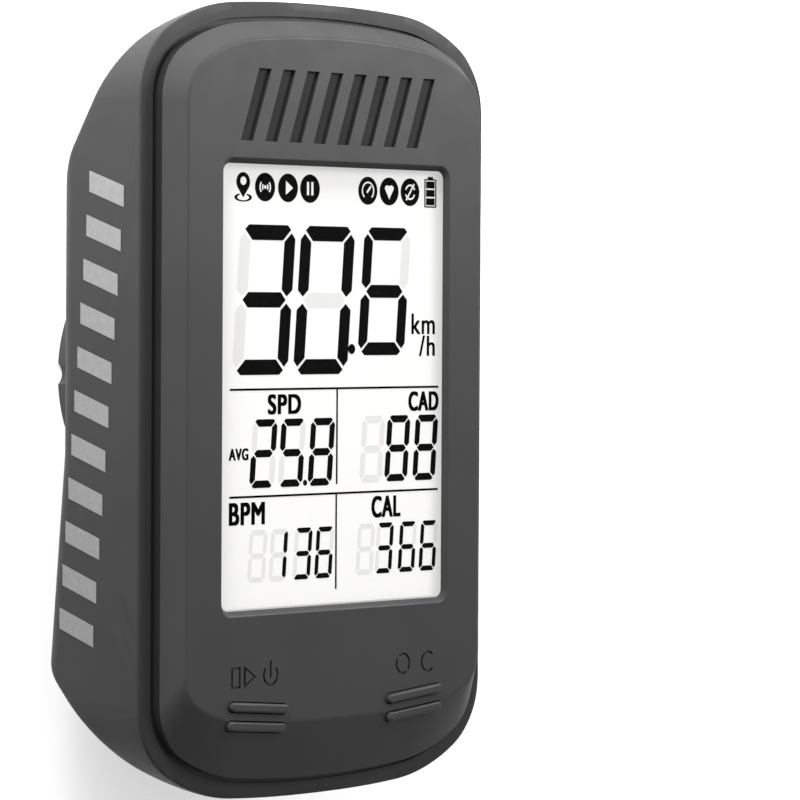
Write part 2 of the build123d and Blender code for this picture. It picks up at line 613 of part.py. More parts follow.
board_block("processor", PROCESSOR_CENTRE, PROCESSOR_SIDE, PROCESSOR_SIDE, PROCESSOR_HEIGHT)
board_block("radio_module", (10, 22), 10.0, 8.0, 1.6)
board_block("power_chip", (9, -6), 4.0, 4.0, 0.8)
board_block("memory_chip", (9, 3), 5.0, 6.0, 0.9)
board_block("radio_antenna", (-11.5, TOP_PARTS_Y), 7.0, 2.0, 1.2, below=False)

with BuildPart() as processor_shield:
    with BuildSketch(level(BOARD_Z)):
        with Locations(PROCESSOR_CENTRE):
            RectangleRounded(SHIELD_SIDE, SHIELD_SIDE, SHIELD_CORNER)
    extrude(amount=-SHIELD_HEIGHT)
    with BuildSketch(level(BOARD_Z)):
        with Locations(PROCESSOR_CENTRE):
            inner_side = SHIELD_SIDE - 2 * SHIELD_WALL
            RectangleRounded(inner_side, inner_side, SHIELD_CORNER - SHIELD_WALL)
    extrude(amount=-(SHIELD_HEIGHT - SHIELD_WALL), mode=Mode.SUBTRACT)
finish(processor_shield, "processor_shield")

with BuildPart() as board_passives:
    with BuildSketch(level(BOARD_Z)):
        with Locations(PASSIVES_CENTRE):
            with GridLocations(PASSIVE_PITCH_X, PASSIVE_PITCH_Y, PASSIVES_COLUMNS, PASSIVES_ROWS):
                Rectangle(PASSIVE_WIDTH, PASSIVE_LENGTH)
    extrude(amount=-PASSIVE_HEIGHT)
finish(board_passives, "board_passives")

with BuildPart() as gps_antenna:
    with BuildSketch(level(BOARD_TOP_Z)):
        with Locations((0, TOP_PARTS_Y)):
            Rectangle(ANTENNA_WIDTH, ANTENNA_LENGTH)
    extrude(amount=ANTENNA_HEIGHT)
    with BuildSketch(level(BOARD_TOP_Z + ANTENNA_HEIGHT)):
        with Locations((0, TOP_PARTS_Y)):
            Rectangle(ANTENNA_WIDTH - 2 * PATCH_MARGIN, ANTENNA_LENGTH - 2 * PATCH_MARGIN)
            Circle(FEED_RADIUS, mode=Mode.SUBTRACT)
    extrude(amount=PATCH_THICKNESS)
finish(gps_antenna, "gps_antenna")

with BuildPart() as buzzer:
    with BuildSketch(level(BOARD_TOP_Z)):
        with Locations((BUZZER_X, TOP_PARTS_Y)):
            Circle(BUZZER_RADIUS)
    extrude(amount=BUZZER_HEIGHT)
    with Locations(level(BOARD_TOP_Z + BUZZER_HEIGHT)):
        with Locations((BUZZER_X, TOP_PARTS_Y)):
            Hole(SOUND_HOLE_RADIUS, depth=SOUND_HOLE_DEPTH)
finish(buzzer, "buzzer")

# Keys, tact switches and their plungers, one of each at the lower corners

for side, side_name in ((-1, "left"), (1, "right")):
    with BuildPart() as button:
        with BuildSketch(key_plane(side, PAD_TOP_Z)):
            RectangleRounded(KEY_WIDTH, KEY_LENGTH, KEY_CORNER)
        extrude(amount=-PAD_THICKNESS)
        for rib_y, rib_z in ((RIB_PITCH / 2, UPPER_RIB_Z), (-RIB_PITCH / 2, LOWER_RIB_Z)):
            with BuildSketch(key_plane(side, PAD_TOP_Z)):
                with Locations((0, rib_y)):
                    SlotOverall(RIB_LENGTH, RIB_WIDTH)
            extrude(amount=rib_z - PAD_TOP_Z)
            crown = button.faces().filter_by(Plane.XY).sort_by(Axis.Z)
            fillet([f for f in crown if abs(f.center().Z - rib_z) < SLIP][0].edges(), KEY_CROWN)
        with BuildSketch(key_plane(side, PAD_TOP_Z - PAD_THICKNESS)):
            Circle(KEY_BOSS_RADIUS)
        extrude(amount=PLUNGER_TOP_Z + KEY_GAP - PAD_TOP_Z + PAD_THICKNESS)
    finish(button, f"button_{side_name}")

    with BuildPart() as tact_switch:
        with BuildSketch(key_plane(side, BOARD_TOP_Z)):
            RectangleRounded(SWITCH_WIDTH, SWITCH_LENGTH, SWITCH_CORNER)
        extrude(amount=SWITCH_HEIGHT)
        with BuildSketch(key_plane(side, BOARD_TOP_Z + SWITCH_HEIGHT)):
            Circle(PLUNGER_RADIUS + SLIP)
        extrude(amount=-SWITCH_WELL, mode=Mode.SUBTRACT)
    finish(tact_switch, f"tact_switch_{side_name}")

    with BuildPart() as switch_plunger:
        with BuildSketch(key_plane(side, PLUNGER_TOP_Z)):
            Circle(PLUNGER_RADIUS)
        extrude(amount=-PLUNGER_LENGTH)
    finish(switch_plunger, f"switch_plunger_{side_name}")

# Battery group

with BuildPart() as battery:
    with BuildSketch(level(BATTERY_Z)):
        with Locations((0, BATTERY_Y)):
            RectangleRounded(BATTERY_WIDTH, BATTERY_LENGTH, BATTERY_CORNER)
    extrude(amount=BATTERY_THICKNESS)
    fillet(battery.edges().filter_by(GeomType.LINE).group_by(Axis.Z)[-1], BATTERY_EDGE)
finish(battery, "battery")

with BuildPart() as battery_pad:
    with BuildSketch(Plane.XY.offset(MOUNT_FLOOR_Z)):
        Rectangle(BATTERY_PAD_SIDE, BATTERY_PAD_SIDE)
    extrude(amount=BATTERY_Z - MOUNT_FLOOR_Z)
finish(battery_pad, "battery_pad")

with BuildPart() as battery_connector:
    with BuildSketch(level(BOARD_Z)):
        with Locations((LEAD_X, LEAD_PLUG_Y)):
            Rectangle(BATTERY_PLUG_WIDTH, BATTERY_PLUG_LENGTH)
    extrude(amount=-BATTERY_PLUG_HEIGHT)
finish(battery_connector, "battery_connector")

with BuildPart() as battery_leads:
    lead_high_z = BOARD_Z - BATTERY_PLUG_HEIGHT / 2
    for lead_x in (LEAD_X - LEAD_PITCH / 2, LEAD_X + LEAD_PITCH / 2):
        with BuildLine(Plane.YZ.offset(lead_x)) as route:
            FilletPolyline(
                (BODY_Y + BATTERY_Y + BATTERY_LENGTH / 2, LEAD_LOW_Z),
                (BODY_Y + LEAD_TURN_Y, LEAD_LOW_Z),
                (BODY_Y + LEAD_TURN_Y, lead_high_z),
                (BODY_Y + LEAD_PLUG_Y + BATTERY_PLUG_LENGTH / 2, lead_high_z),
                radius=LEAD_BEND,
            )
        with BuildSketch(Plane(route.line @ 0, z_dir=route.line % 0)):
            Circle(LEAD_RADIUS)
        sweep(path=route.line)
finish(battery_leads, "battery_leads")

# Port on the sloping end: USB socket on its own board, flex, rubber cover and anchor

with BuildPart() as usb_connector:
    with BuildSketch(port_plane(SOCKET_DEPTH_BELOW)):
        RectangleRounded(SOCKET_WIDTH, SOCKET_HEIGHT, SOCKET_CORNER)
    extrude(amount=-SOCKET_DEPTH)
    with BuildSketch(port_plane(SOCKET_DEPTH_BELOW)):
        RectangleRounded(
            SOCKET_WIDTH - 2 * SOCKET_WALL, SOCKET_HEIGHT - 2 * SOCKET_WALL, SOCKET_CORNER - SOCKET_WALL
        )
    extrude(amount=SOCKET_FLOOR - SOCKET_DEPTH, mode=Mode.SUBTRACT)
    with BuildSketch(port_plane(SOCKET_DEPTH_BELOW + BLADE_BACK)):
        with Locations((0, BLADE_SHIFT)):
            Rectangle(BLADE_WIDTH, BLADE_HEIGHT)
    extrude(amount=BLADE_BACK + SOCKET_FLOOR / 2 - SOCKET_DEPTH)
finish(usb_connector, "usb_connector")

with BuildPart() as usb_board:
    with BuildSketch(port_plane(SOCKET_DEPTH_BELOW + USB_BOARD_BACK)):
        with Locations((0, -SOCKET_HEIGHT / 2 - USB_BOARD_THICKNESS / 2)):
            Rectangle(USB_BOARD_WIDTH, USB_BOARD_THICKNESS)
    extrude(amount=USB_BOARD_BACK - SOCKET_DEPTH - USB_BOARD_PAST)
finish(usb_board, "usb_board")

with BuildPart() as port_cover:
    with BuildSketch(Plane.YZ.offset(-FLAP_WIDTH / 2)):
        add(flap_profile())
    extrude(amount=FLAP_WIDTH)
    corners = port_cover.edges().filter_by(Axis((0, 0, 0), port_plane().z_dir))
    fillet(corners, FLAP_CORNER - FLAP_GAP)
    with BuildSketch(port_plane(FLAP_THICKNESS)):
        RectangleRounded(PLUG_WIDTH, PLUG_HEIGHT, PLUG_CORNER)
    extrude(amount=-PLUG_DEPTH, taper=PLUG_TAPER)
    with BuildSketch(port_plane(0)):
        with Locations((0, GRIP_Y)):
            SlotOverall(GRIP_LENGTH, GRIP_WIDTH)
    extrude(amount=-GRIP_DEPTH, mode=Mode.SUBTRACT)
finish(port_cover, "port_cover")

with BuildPart() as port_cover_anchor:
    with BuildSketch(port_plane(POCKET_DEPTH)):
        with Locations((0, (ANCHOR_LOW_Y + POCKET_HIGH_Y) / 2)):
            Rectangle(FLAP_WIDTH - 2 * FLAP_CORNER, POCKET_HIGH_Y - ANCHOR_LOW_Y)
    extrude(amount=FLAP_THICKNESS)
finish(port_cover_anchor, "port_cover_anchor")

# Quarter-turn mount: plate, neck and two tabs, held by four countersunk screws

with BuildPart() as mount_plate:
    with BuildSketch(Plane.XY.offset(TURRET_Z)):
        Circle(PLATE_RADIUS)
    extrude(amount=PLATE_THICKNESS)
    with BuildSketch():
        Circle(NECK_RADIUS)
    extrude(amount=TURRET_Z)
    with BuildSketch():
        Circle(TAB_RADIUS)
        Rectangle(2 * TAB_RADIUS, TAB_WIDTH, mode=Mode.INTERSECT)
        with Locations((-TAB_RADIUS - NOTCH_OFFSET, 0), (TAB_RADIUS + NOTCH_OFFSET, 0)):
            Circle(NOTCH_RADIUS, mode=Mode.SUBTRACT)
    extrude(amount=TAB_THICKNESS)
    with BuildSketch():
        Circle(DISH_RADIUS)
    extrude(amount=DISH_DEPTH, mode=Mode.SUBTRACT)
    with Locations(Plane.XY.offset(DISH_DEPTH).rotated((180, 0, 0))):
        with PolarLocations(MOUNT_SCREW_CIRCLE, 4, start_angle=45):
            CounterSinkHole(SCREW_RADIUS, SCREW_HEAD_RADIUS, counter_sink_angle=90)
finish(mount_plate, "mount_plate")

with BuildPart() as mount_screws:
    with BuildSketch(Plane.XY.offset(DISH_DEPTH)):
        with PolarLocations(MOUNT_SCREW_CIRCLE, 4, start_angle=45):
            Circle(SCREW_HEAD_RADIUS)
    extrude(amount=SCREW_HEAD_RADIUS - SCREW_RADIUS, taper=45)
    with BuildSketch(Plane.XY.offset(DISH_DEPTH)):
        with PolarLocations(MOUNT_SCREW_CIRCLE, 4, start_angle=45):
            Circle(SCREW_RADIUS)
    extrude(amount=MOUNT_SCREW_END_Z - DISH_DEPTH)
    with BuildSketch(Plane.XY.offset(DISH_DEPTH)):
        with PolarLocations(MOUNT_SCREW_CIRCLE, 4, start_angle=45):
            cross_slot(SLOT_LENGTH, SLOT_WIDTH)
    extrude(amount=SLOT_DEPTH, mode=Mode.SUBTRACT)
finish(mount_screws, "mount_screws")

with BuildPart() as housing_screws:
    with BuildSketch(level(CASE_SEAT_Z)):
        with Locations(*CASE_SCREWS):
            Circle(CASE_HEAD_RADIUS)
    extrude(amount=-CASE_HEAD)
    with BuildSketch(level(CASE_SEAT_Z)):
        with Locations(*CASE_SCREWS):
            Circle(SCREW_RADIUS)
    extrude(amount=CASE_SCREW_END_Z - CASE_SEAT_Z)
    with BuildSketch(level(CASE_SEAT_Z - CASE_HEAD)):
        with Locations(*CASE_SCREWS):
            cross_slot(SLOT_LENGTH, SLOT_WIDTH)
    extrude(amount=SLOT_DEPTH, mode=Mode.SUBTRACT)
finish(housing_screws, "housing_screws")
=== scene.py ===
"""Looks of a handlebar cycling computer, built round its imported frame.

The file is laid out as an add-on: settings, one operator for each group of pieces, a panel and
register functions. Lengths are metres; layouts written in millimetres are multiplied by MM.
"""

import json
from math import asin, cos, pi, radians, sin, tan

import bmesh
import bpy
import numpy as np
from mathutils import Matrix, Vector


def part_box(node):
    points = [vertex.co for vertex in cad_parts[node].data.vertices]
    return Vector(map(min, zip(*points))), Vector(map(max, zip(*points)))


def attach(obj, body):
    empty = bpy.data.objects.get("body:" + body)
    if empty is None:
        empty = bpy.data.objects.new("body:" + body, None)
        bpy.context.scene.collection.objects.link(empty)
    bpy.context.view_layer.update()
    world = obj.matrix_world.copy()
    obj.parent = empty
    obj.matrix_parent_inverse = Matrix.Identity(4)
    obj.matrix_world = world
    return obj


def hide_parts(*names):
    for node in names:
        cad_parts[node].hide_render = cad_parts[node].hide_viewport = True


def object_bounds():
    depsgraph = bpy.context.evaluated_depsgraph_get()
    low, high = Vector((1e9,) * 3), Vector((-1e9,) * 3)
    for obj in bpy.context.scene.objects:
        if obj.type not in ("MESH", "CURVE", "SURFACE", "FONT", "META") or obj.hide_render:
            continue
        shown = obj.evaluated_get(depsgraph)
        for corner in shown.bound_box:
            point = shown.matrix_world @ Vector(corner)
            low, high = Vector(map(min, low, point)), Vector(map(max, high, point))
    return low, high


bl_info = {
    "name": "Cycling Computer Looks",
    "version": (1, 0, 0),
    "blender": (4, 5, 0),
    "location": "View3D > Sidebar > Cycling",
    "description": "Builds the finishes and fine pieces of a handlebar cycling computer",
    "category": "Object",
}

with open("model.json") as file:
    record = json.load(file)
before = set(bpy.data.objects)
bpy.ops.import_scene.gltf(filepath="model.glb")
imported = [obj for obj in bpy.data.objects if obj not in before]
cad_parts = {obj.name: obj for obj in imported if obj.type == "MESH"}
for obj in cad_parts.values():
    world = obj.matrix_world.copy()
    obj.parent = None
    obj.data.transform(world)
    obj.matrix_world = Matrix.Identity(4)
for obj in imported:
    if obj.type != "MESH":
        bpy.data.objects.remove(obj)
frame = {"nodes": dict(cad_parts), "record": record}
CAD_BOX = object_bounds()
MM = 0.001
HAIR = 0.02 * MM  # two heights closer than this are the same level

COVER_LOW, COVER_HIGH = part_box("front_cover")
SHELL_LOW, SHELL_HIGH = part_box("rear_housing")
LENS_LOW, LENS_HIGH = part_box("display_lens")
GLASS_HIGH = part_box("lcd_glass")[1]
DISPLAY_CENTRE = (LENS_LOW + LENS_HIGH) / 2
BODY_CENTRE = (SHELL_LOW + SHELL_HIGH) / 2


# Settings


def length(name, description, default):
    """A length setting, given in millimetres."""
    return bpy.props.FloatProperty(
        name=name, description=description, default=default * MM, unit="LENGTH", min=0, precision=5
    )


def share(name, description, default):
    """A setting from 0 to 1."""
    return bpy.props.FloatProperty(
        name=name, description=description, default=default, min=0, max=1, subtype="FACTOR"
    )


def colour(name, description, *default):
    """A linear colour setting."""
    return bpy.props.FloatVectorProperty(
        name=name, description=description, default=default, min=0, max=1, size=3, subtype="COLOR"
    )


class CasingSettings(bpy.types.PropertyGroup):
    """Edges and plastics of the casing."""

    shell_edge: length("Back edge", "How far the rounding between the back's slopes reaches in", 0.8)
    cover_edge: length("Cover edge", "Rounding between the cover's face and its bevels", 0.22)
    window_edge: length("Window edge", "Rounding of the display window's edge", 0.12)
    bar_edge: length("Bar edge", "Rounding of the pressed-in bars' edges", 0.07)
    shell_colour: colour("Shell colour", "Plastic of the rear housing", 0.016, 0.016, 0.0164)
    cover_colour: colour("Cover colour", "Plastic of the front cover", 0.02, 0.02, 0.0205)
    # painted shade: the floors and walls of the pressed-in bars get this darker colour, which stands in for
    # the shade in their recesses
    pressed_shade_colour: colour("Pressed colour", "Plastic inside the pressed-in bars", 0.008, 0.008, 0.008)
    roughness: share("Roughness", "Roughness of the moulded plastic", 0.47)
    gloss: share("Gloss", "Strength of the cover's and the keys' reflections", 0.25)
    dull: share("Dull gloss", "Strength of the housing's reflections", 0.16)
    grain: length("Grain", "Size of the moulded texture's bumps", 0.16)


class DisplaySettings(bpy.types.PropertyGroup):
    """Colours of the segment display."""

    panel_colour: colour("Panel", "Blank parts of the display", 0.805, 0.8, 0.785)
    ink_colour: colour("Ink", "Segments that are on", 0.002, 0.002, 0.002)
    ghost_colour: colour("Ghost", "Segments that are off", 0.68, 0.675, 0.665)
    # painted glow: the panel and the ghost segments emit this share of their light themselves, without a
    # lamp behind them, which evens out the shade in the display's recess
    painted_glow: share("Glow", "Share of the panel's light that comes from behind it", 0.62)
    ink_height: length("Ink height", "Thickness of the segments", 0.03)


class PrintSettings(bpy.types.PropertyGroup):
    """Slanted bars printed along each side wall."""

    bars: bpy.props.IntProperty(name="Bars", description="Bars on each side", default=11, min=1)
    bar_width: length("Bar width", "Width of each bar along the wall", 2.1)
    bar_height: length("Bar height", "Height of each bar up the wall", 5.3)
    ink_colour: colour("Print colour", "Ink of the bars", 0.1, 0.1, 0.101)


class ScrewSettings(bpy.types.PropertyGroup):
    """Cross recess and thread of the screws."""

    recess_width: share("Recess width", "Width of the cross slots, as a share of the head", 0.24)
    thread_pitch: length("Thread pitch", "Distance between two turns of thread", 0.5)


class StageSettings(bpy.types.PropertyGroup):
    """Floor, lamps and camera."""

    floor_colour: colour("Floor", "Colour of the floor", 0.93, 0.93, 0.93)
    sky: share("Sky", "Brightness of the even light all round", 1.0)
    key_power: bpy.props.FloatProperty(name="Key", description="Power of the key lamp", default=0.3)
    fill_power: bpy.props.FloatProperty(name="Fill", description="Power of the fill", default=1.1)
    focal_length: bpy.props.FloatProperty(
        name="Focal length", description="Camera lens, in millimetres", default=193.85
    )


# Finishes


class Finish:
    """A procedural material: one Principled shader with patterns read on Object coordinates."""

    def __init__(self, name, base, roughness, **sockets):
        self.material = bpy.data.materials.new(name)
        self.material.use_nodes = True
        self.tree = self.material.node_tree
        self.shader = self.tree.nodes["Principled BSDF"]
        self.place = self.tree.nodes.new("ShaderNodeTexCoord")
        self.relief_socket = None
        self.put("Base Color", (*base, 1.0))
        self.put("Roughness", roughness)
        for socket, value in sockets.items():
            self.put(socket.replace("_", " "), value)

    def put(self, socket, value):
        """Set a constant on the shader's own socket."""
        self.shader.inputs[socket].default_value = value

    def join(self, output, target):
        """Link two sockets."""
        self.tree.links.new(output, target)

    def noise(self, size, detail=2.0, stretch=(1, 1, 1), distortion=0.0):
        """Soft patches about size metres across, drawn out along an axis by a small stretch."""
        mapping = self.tree.nodes.new("ShaderNodeMapping")
        mapping.inputs["Scale"].default_value = [axis / size for axis in stretch]
        noise = self.tree.nodes.new("ShaderNodeTexNoise")
        noise.inputs["Scale"].default_value = 1.0
        noise.inputs["Detail"].default_value = detail
        noise.inputs["Distortion"].default_value = distortion
        self.join(self.place.outputs["Object"], mapping.inputs["Vector"])
        self.join(mapping.outputs["Vector"], noise.inputs["Vector"])
        return noise.outputs["Fac"]

    def spread(self, pattern, low, high, start=0.3, end=0.7):
        """Map a pattern's middle range onto low to high."""
        spread = self.tree.nodes.new("ShaderNodeMapRange")
        for socket, value in (("From Min", start), ("From Max", end), ("To Min", low), ("To Max", high)):
            spread.inputs[socket].default_value = value
        self.join(pattern, spread.inputs["Value"])
        return spread.outputs["Result"]

    def mottle(self, pattern, dark, light):
        """Vary the base colour between two colours with a pattern."""
        mix = self.tree.nodes.new("ShaderNodeMix")
        mix.data_type = "RGBA"
        colours = [socket for socket in mix.inputs if socket.type == "RGBA"]
        colours[0].default_value = (*dark, 1.0)
        colours[1].default_value = (*light, 1.0)
        self.join(self.spread(pattern, 0.0, 1.0), mix.inputs["Factor"])
        result = next(socket for socket in mix.outputs if socket.type == "RGBA")
        self.join(result, self.shader.inputs["Base Color"])
        return result

    def polish(self, pattern, low, high):
        """Vary the roughness with a pattern."""
        self.join(self.spread(pattern, low, high), self.shader.inputs["Roughness"])

    def relief(self, pattern, depth, strength=1.0):
        """Add bumps of a depth in metres, over any bumps added before."""
        bump = self.tree.nodes.new("ShaderNodeBump")
        bump.inputs["Distance"].default_value = depth
        bump.inputs["Strength"].default_value = strength
        self.join(pattern, bump.inputs["Height"])
        if self.relief_socket:
            self.join(self.relief_socket, bump.inputs["Normal"])
        self.relief_socket = bump.outputs["Normal"]
        self.join(self.relief_socket, self.shader.inputs["Normal"])


def shades(base, spread):
    """A darker and a lighter version of a colour."""
    return [value * (1 - spread) for value in base], [value * (1 + spread) for value in base]


def moulded(name, base, roughness, grain, depth=0.004 * MM, spread=0.06, **sockets):
    """Moulded plastic or rubber: fine grain, faint clouding and uneven polish."""
    finish = Finish(name, base, roughness, **sockets)
    finish.mottle(finish.noise(9 * MM, 4.0), *shades(base, spread))
    finish.polish(finish.noise(3.5 * MM, 3.0), roughness - 0.035, roughness + 0.035)
    finish.relief(finish.noise(grain, 3.0), depth)
    return finish.material


def metal(name, base, roughness, stretch, **sockets):
    """Plated or rolled metal: drawn-out lines in polish and relief."""
    finish = Finish(name, base, roughness, Metallic=1.0, **sockets)
    lines = finish.noise(0.5 * MM, 3.0, stretch=stretch)
    finish.mottle(finish.noise(1.5 * MM, 3.0), *shades(base, 0.08))
    finish.polish(lines, roughness - 0.08, roughness + 0.1)
    finish.relief(lines, 0.002 * MM)
    return finish.material


def lens_finish():
    """Clear cover lens with a hard coat."""
    finish = Finish("clear_lens", (0.02, 0.02, 0.02), 0.2, Alpha=0.02, IOR=1.49)
    finish.polish(finish.noise(6 * MM, 2.0), 0.17, 0.23)
    return finish.material


def panel_finish(settings):
    """Reflective display panel with a faint fibre in its polariser, and a painted glow: emitted light that
    lifts it and evens out the shade of the window's recess.
    """
    tint = tuple(settings.panel_colour)
    base = [value * (1 - settings.painted_glow) for value in tint]
    finish = Finish(
        "display_panel", base, 0.6, Specular_IOR_Level=0.1, Emission_Color=(*tint, 1.0),
        Emission_Strength=settings.painted_glow,
    )
    finish.mottle(finish.noise(0.5 * MM, 3.0, stretch=(1, 0.2, 1)), *shades(base, 0.012))
    finish.relief(finish.noise(0.08 * MM), 0.001 * MM)
    return finish.material


def ink_finish(name, tint, painted_glow=0.0):
    """Segment ink, dense black or the faint grey of a segment that is off, which can be given the panel's
    painted glow.
    """
    base = [value * (1 - painted_glow) for value in tint]
    finish = Finish(
        name, base, 0.6, Specular_IOR_Level=0.0, Emission_Color=(*tint, 1.0), Emission_Strength=painted_glow
    )
    finish.mottle(finish.noise(0.4 * MM, 2.0), *shades(base, 0.02))
    finish.relief(finish.noise(0.1 * MM), 0.001 * MM)
    return finish.material


def print_finish(base):
    """Pad-printed ink that lies thin over the grain of the wall."""
    finish = Finish("printed_ink", base, 0.5)
    finish.mottle(finish.noise(0.6 * MM, 4.0), *shades(base, 0.09))
    finish.relief(finish.noise(0.16 * MM, 3.0), 0.004 * MM)
    return finish.material


def board_finish():
    """Green circuit board with copper tracks under the mask."""
    finish = Finish("circuit_board", (0.01, 0.09, 0.035), 0.35)
    tracks = finish.noise(1.4 * MM, 1.0, distortion=2.5)
    finish.mottle(tracks, (0.008, 0.07, 0.028), (0.02, 0.13, 0.05))
    finish.relief(tracks, 0.02 * MM)
    return finish.material


def slot_finishes(casing, display):
    """One material for each of the record's slots."""
    grain = casing.grain
    wire = (1, 0.15, 1)
    rolled = (0.12, 1, 1)
    return {
        "housing_plastic": moulded(
            "housing_plastic", casing.shell_colour, casing.roughness, grain, Specular_IOR_Level=casing.dull
        ),
        "cover_plastic": moulded(
            "cover_plastic", casing.cover_colour, casing.roughness, grain, Specular_IOR_Level=casing.gloss
        ),
        "key_rubber": moulded(
            "key_rubber", casing.cover_colour, 0.5, grain, 0.003 * MM, Specular_IOR_Level=casing.gloss
        ),
        "seal_rubber": moulded("seal_rubber", (0.006, 0.006, 0.006), 0.6, 0.3 * MM),
        "port_rubber": moulded("port_rubber", (0.014, 0.014, 0.015), 0.62, 0.22 * MM, 0.006 * MM),
        "lens": lens_finish(),
        "adhesive": moulded("adhesive_film", (0.01, 0.01, 0.01), 0.7, 0.3 * MM),
        "lcd": panel_finish(display),
        "light_guide": moulded("light_guide", (0.8, 0.82, 0.85), 0.15, 0.6 * MM, 0.01 * MM),
        "led": moulded("led_resin", (0.85, 0.8, 0.5), 0.2, 0.3 * MM),
        "white_plastic": moulded("white_plastic", (0.7, 0.7, 0.68), 0.45, 0.25 * MM),
        "polyimide": moulded("polyimide_film", (0.5, 0.2, 0.03), 0.25, 0.8 * MM, 0.01 * MM, 0.15),
        "black_plastic": moulded("black_plastic", (0.015, 0.015, 0.015), 0.45, 0.2 * MM),
        "board": board_finish(),
        "chip": moulded("chip_epoxy", (0.02, 0.02, 0.021), 0.55, 0.12 * MM, 0.006 * MM),
        "ceramic": moulded("fired_ceramic", (0.6, 0.52, 0.38), 0.5, 0.2 * MM, 0.01 * MM, 0.12),
        "tin": metal("tin_plate", (0.75, 0.74, 0.71), 0.34, rolled),
        "steel": metal("screw_steel", (0.14, 0.14, 0.145), 0.4, (1, 1, 1)),
        "cell": metal("pouch_foil", (0.72, 0.73, 0.75), 0.38, wire),
        "foam": moulded("cell_foam", (0.03, 0.03, 0.03), 0.9, 0.4 * MM, 0.06 * MM, 0.2),
        "lead": moulded("lead_sleeve", (0.4, 0.015, 0.012), 0.4, 0.5 * MM),
        "mount_plastic": moulded("mount_nylon", (0.016, 0.016, 0.017), 0.42, 0.3 * MM, 0.008 * MM, 0.12),
    }


FINISHES = {}
SLOT_OF = {part["node"]: part["material_slot"] for part in frame["record"]["subparts"]}
BODY_OF = {node: body for body, nodes in frame["record"]["behaviour"]["bodies"].items() for node in nodes}


def finish_of(slot):
    """The material of a slot, made on first use from the scene's settings."""
    if not FINISHES:
        scene = bpy.context.scene
        FINISHES.update(slot_finishes(scene.casing_settings, scene.screen_settings))
    return FINISHES[slot]


def dress(*nodes):
    """Give frame nodes that stay as they are the finish of their slot."""
    for node in nodes:
        mesh = frame["nodes"][node].data
        mesh.materials.clear()
        mesh.materials.append(finish_of(SLOT_OF[node]))


# Making pieces

WELD = 0.001 * MM
FLAT = radians(0.02)  # faces that meet at less than this count as one flat face
CREASE = 32  # degrees over which a line between two faces stays sharp


def new_piece(name, mesh, slot, body="root", finish=None):
    """An object of a mesh, riding on a body with the finish of a slot."""
    piece = bpy.data.objects.new(name, mesh)
    bpy.context.scene.collection.objects.link(piece)
    if finish or not mesh.materials:
        mesh.materials.clear()
        mesh.materials.append(finish or finish_of(slot))
    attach(piece, body)
    return piece


def settle_normals(piece, angle):
    """Smooth shading that breaks at edges sharper than an angle, with flat faces kept flat."""
    piece.data.shade_smooth()
    piece.data.set_sharp_from_angle(angle=radians(angle))
    weighted = piece.modifiers.new("Flat faces", "WEIGHTED_NORMAL")
    weighted.keep_sharp = True
    weighted.weight = 100


def welded(node):
    """A frame node's triangles with their doubled points merged."""
    shape = bmesh.new()
    shape.from_mesh(frame["nodes"][node].data)
    bmesh.ops.remove_doubles(shape, verts=shape.verts, dist=WELD)
    return shape


def plain_mesh(shape, name):
    """A mesh of a shape, with no materials or stored normals of its own."""
    mesh = bpy.data.meshes.new(name)
    shape.to_mesh(mesh)
    shape.free()
    if "custom_normal" in mesh.attributes:
        mesh.attributes.remove(mesh.attributes["custom_normal"])
    mesh.materials.clear()
    return mesh


def softened(node, name, passes):
    """A copy of a frame node with chosen edges rounded, which stands for the node.

    Each pass is a width and a test that picks the edges to round.
    """
    shape = welded(node)
    bmesh.ops.dissolve_limit(shape, angle_limit=FLAT, verts=shape.verts, edges=shape.edges)
    for width, picks in passes:
        edges = [edge for edge in shape.edges if edge.is_manifold and picks(edge)]
        if not edges:
            raise RuntimeError(f"{node}: no edge was found to round by {width} m")
        bmesh.ops.bevel(
            shape, geom=edges, offset=width, offset_type="OFFSET", segments=3, profile=0.5,
            affect="EDGES", clamp_overlap=False,
        )
    piece = new_piece(name, plain_mesh(shape, name), SLOT_OF[node], BODY_OF[node])
    settle_normals(piece, CREASE)
    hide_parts(node)
    return piece


def middle(edge):
    """The middle of an edge."""
    return (edge.verts[0].co + edge.verts[1].co) / 2


def level_edge(edge, z):
    """True if both ends of an edge lie at a height."""
    return all(abs(vert.co.z - z) < HAIR for vert in edge.verts)


def tilts(edge):
    """How far up the two faces beside an edge point, lowest first."""
    return sorted(face.normal.z for face in edge.link_faces)


def within(point, low, high, margin=0.0):
    """True if a point lies in a box seen from above."""
    return all(low[axis] - margin < point[axis] < high[axis] + margin for axis in (0, 1))


# Rear housing

FOOT_RADII = (132.0, 20.0, 6.2)  # end, shoulder and corner of the cover's foot, in millimetres
SHOULDER_TURN = radians(30)  # how far the outline has turned where the corner begins
WALL_DRAFT = radians(5)
RIM_GROW = SHELL_HIGH.x - COVER_HIGH.x  # the rim stands this far outside the cover's foot
RIM_DROP = 0.3 * MM  # the rim is widest this far under its flat front
SKIN_INSET = 0.02 * MM  # the rounded skin lies this far inside the frame's faces
TURRET_RADIUS = 17.2 * MM
TURRET_EDGE = 0.3 * MM
RIM_EDGE = 0.4 * MM
SHELL_CREASE = 28  # degrees over which a line on the housing stays sharp
LEAST_SLOPE = 100 * MM * MM  # area over which a flat face counts as one slope of the back
BACK_TILT = -0.3  # faces that point further down than this belong to the back
SIDE_TILT = 0.2  # slopes that point further sideways than this belong to a side
CAGE_MARGIN = 1 * MM
SKIN_COLUMNS = 460
FRONT_RINGS = (0.3, 0.7, 0.85, 0.9, 0.93)  # sizes of the loose rings over the front, against the body
FRONT_ROWS, RIM_ROWS, WALL_ROWS, BACK_ROWS = 12, 18, 66, 62
RAY_LENGTH, HALVINGS = 80 * MM, 26  # each ray is halved this often to find the skin
CAGE_POWER = 0.45  # how square the rings of rays are; 1 is an ellipse
RIM_BAND = 3 * MM  # stretch under the front that has its rays closer together


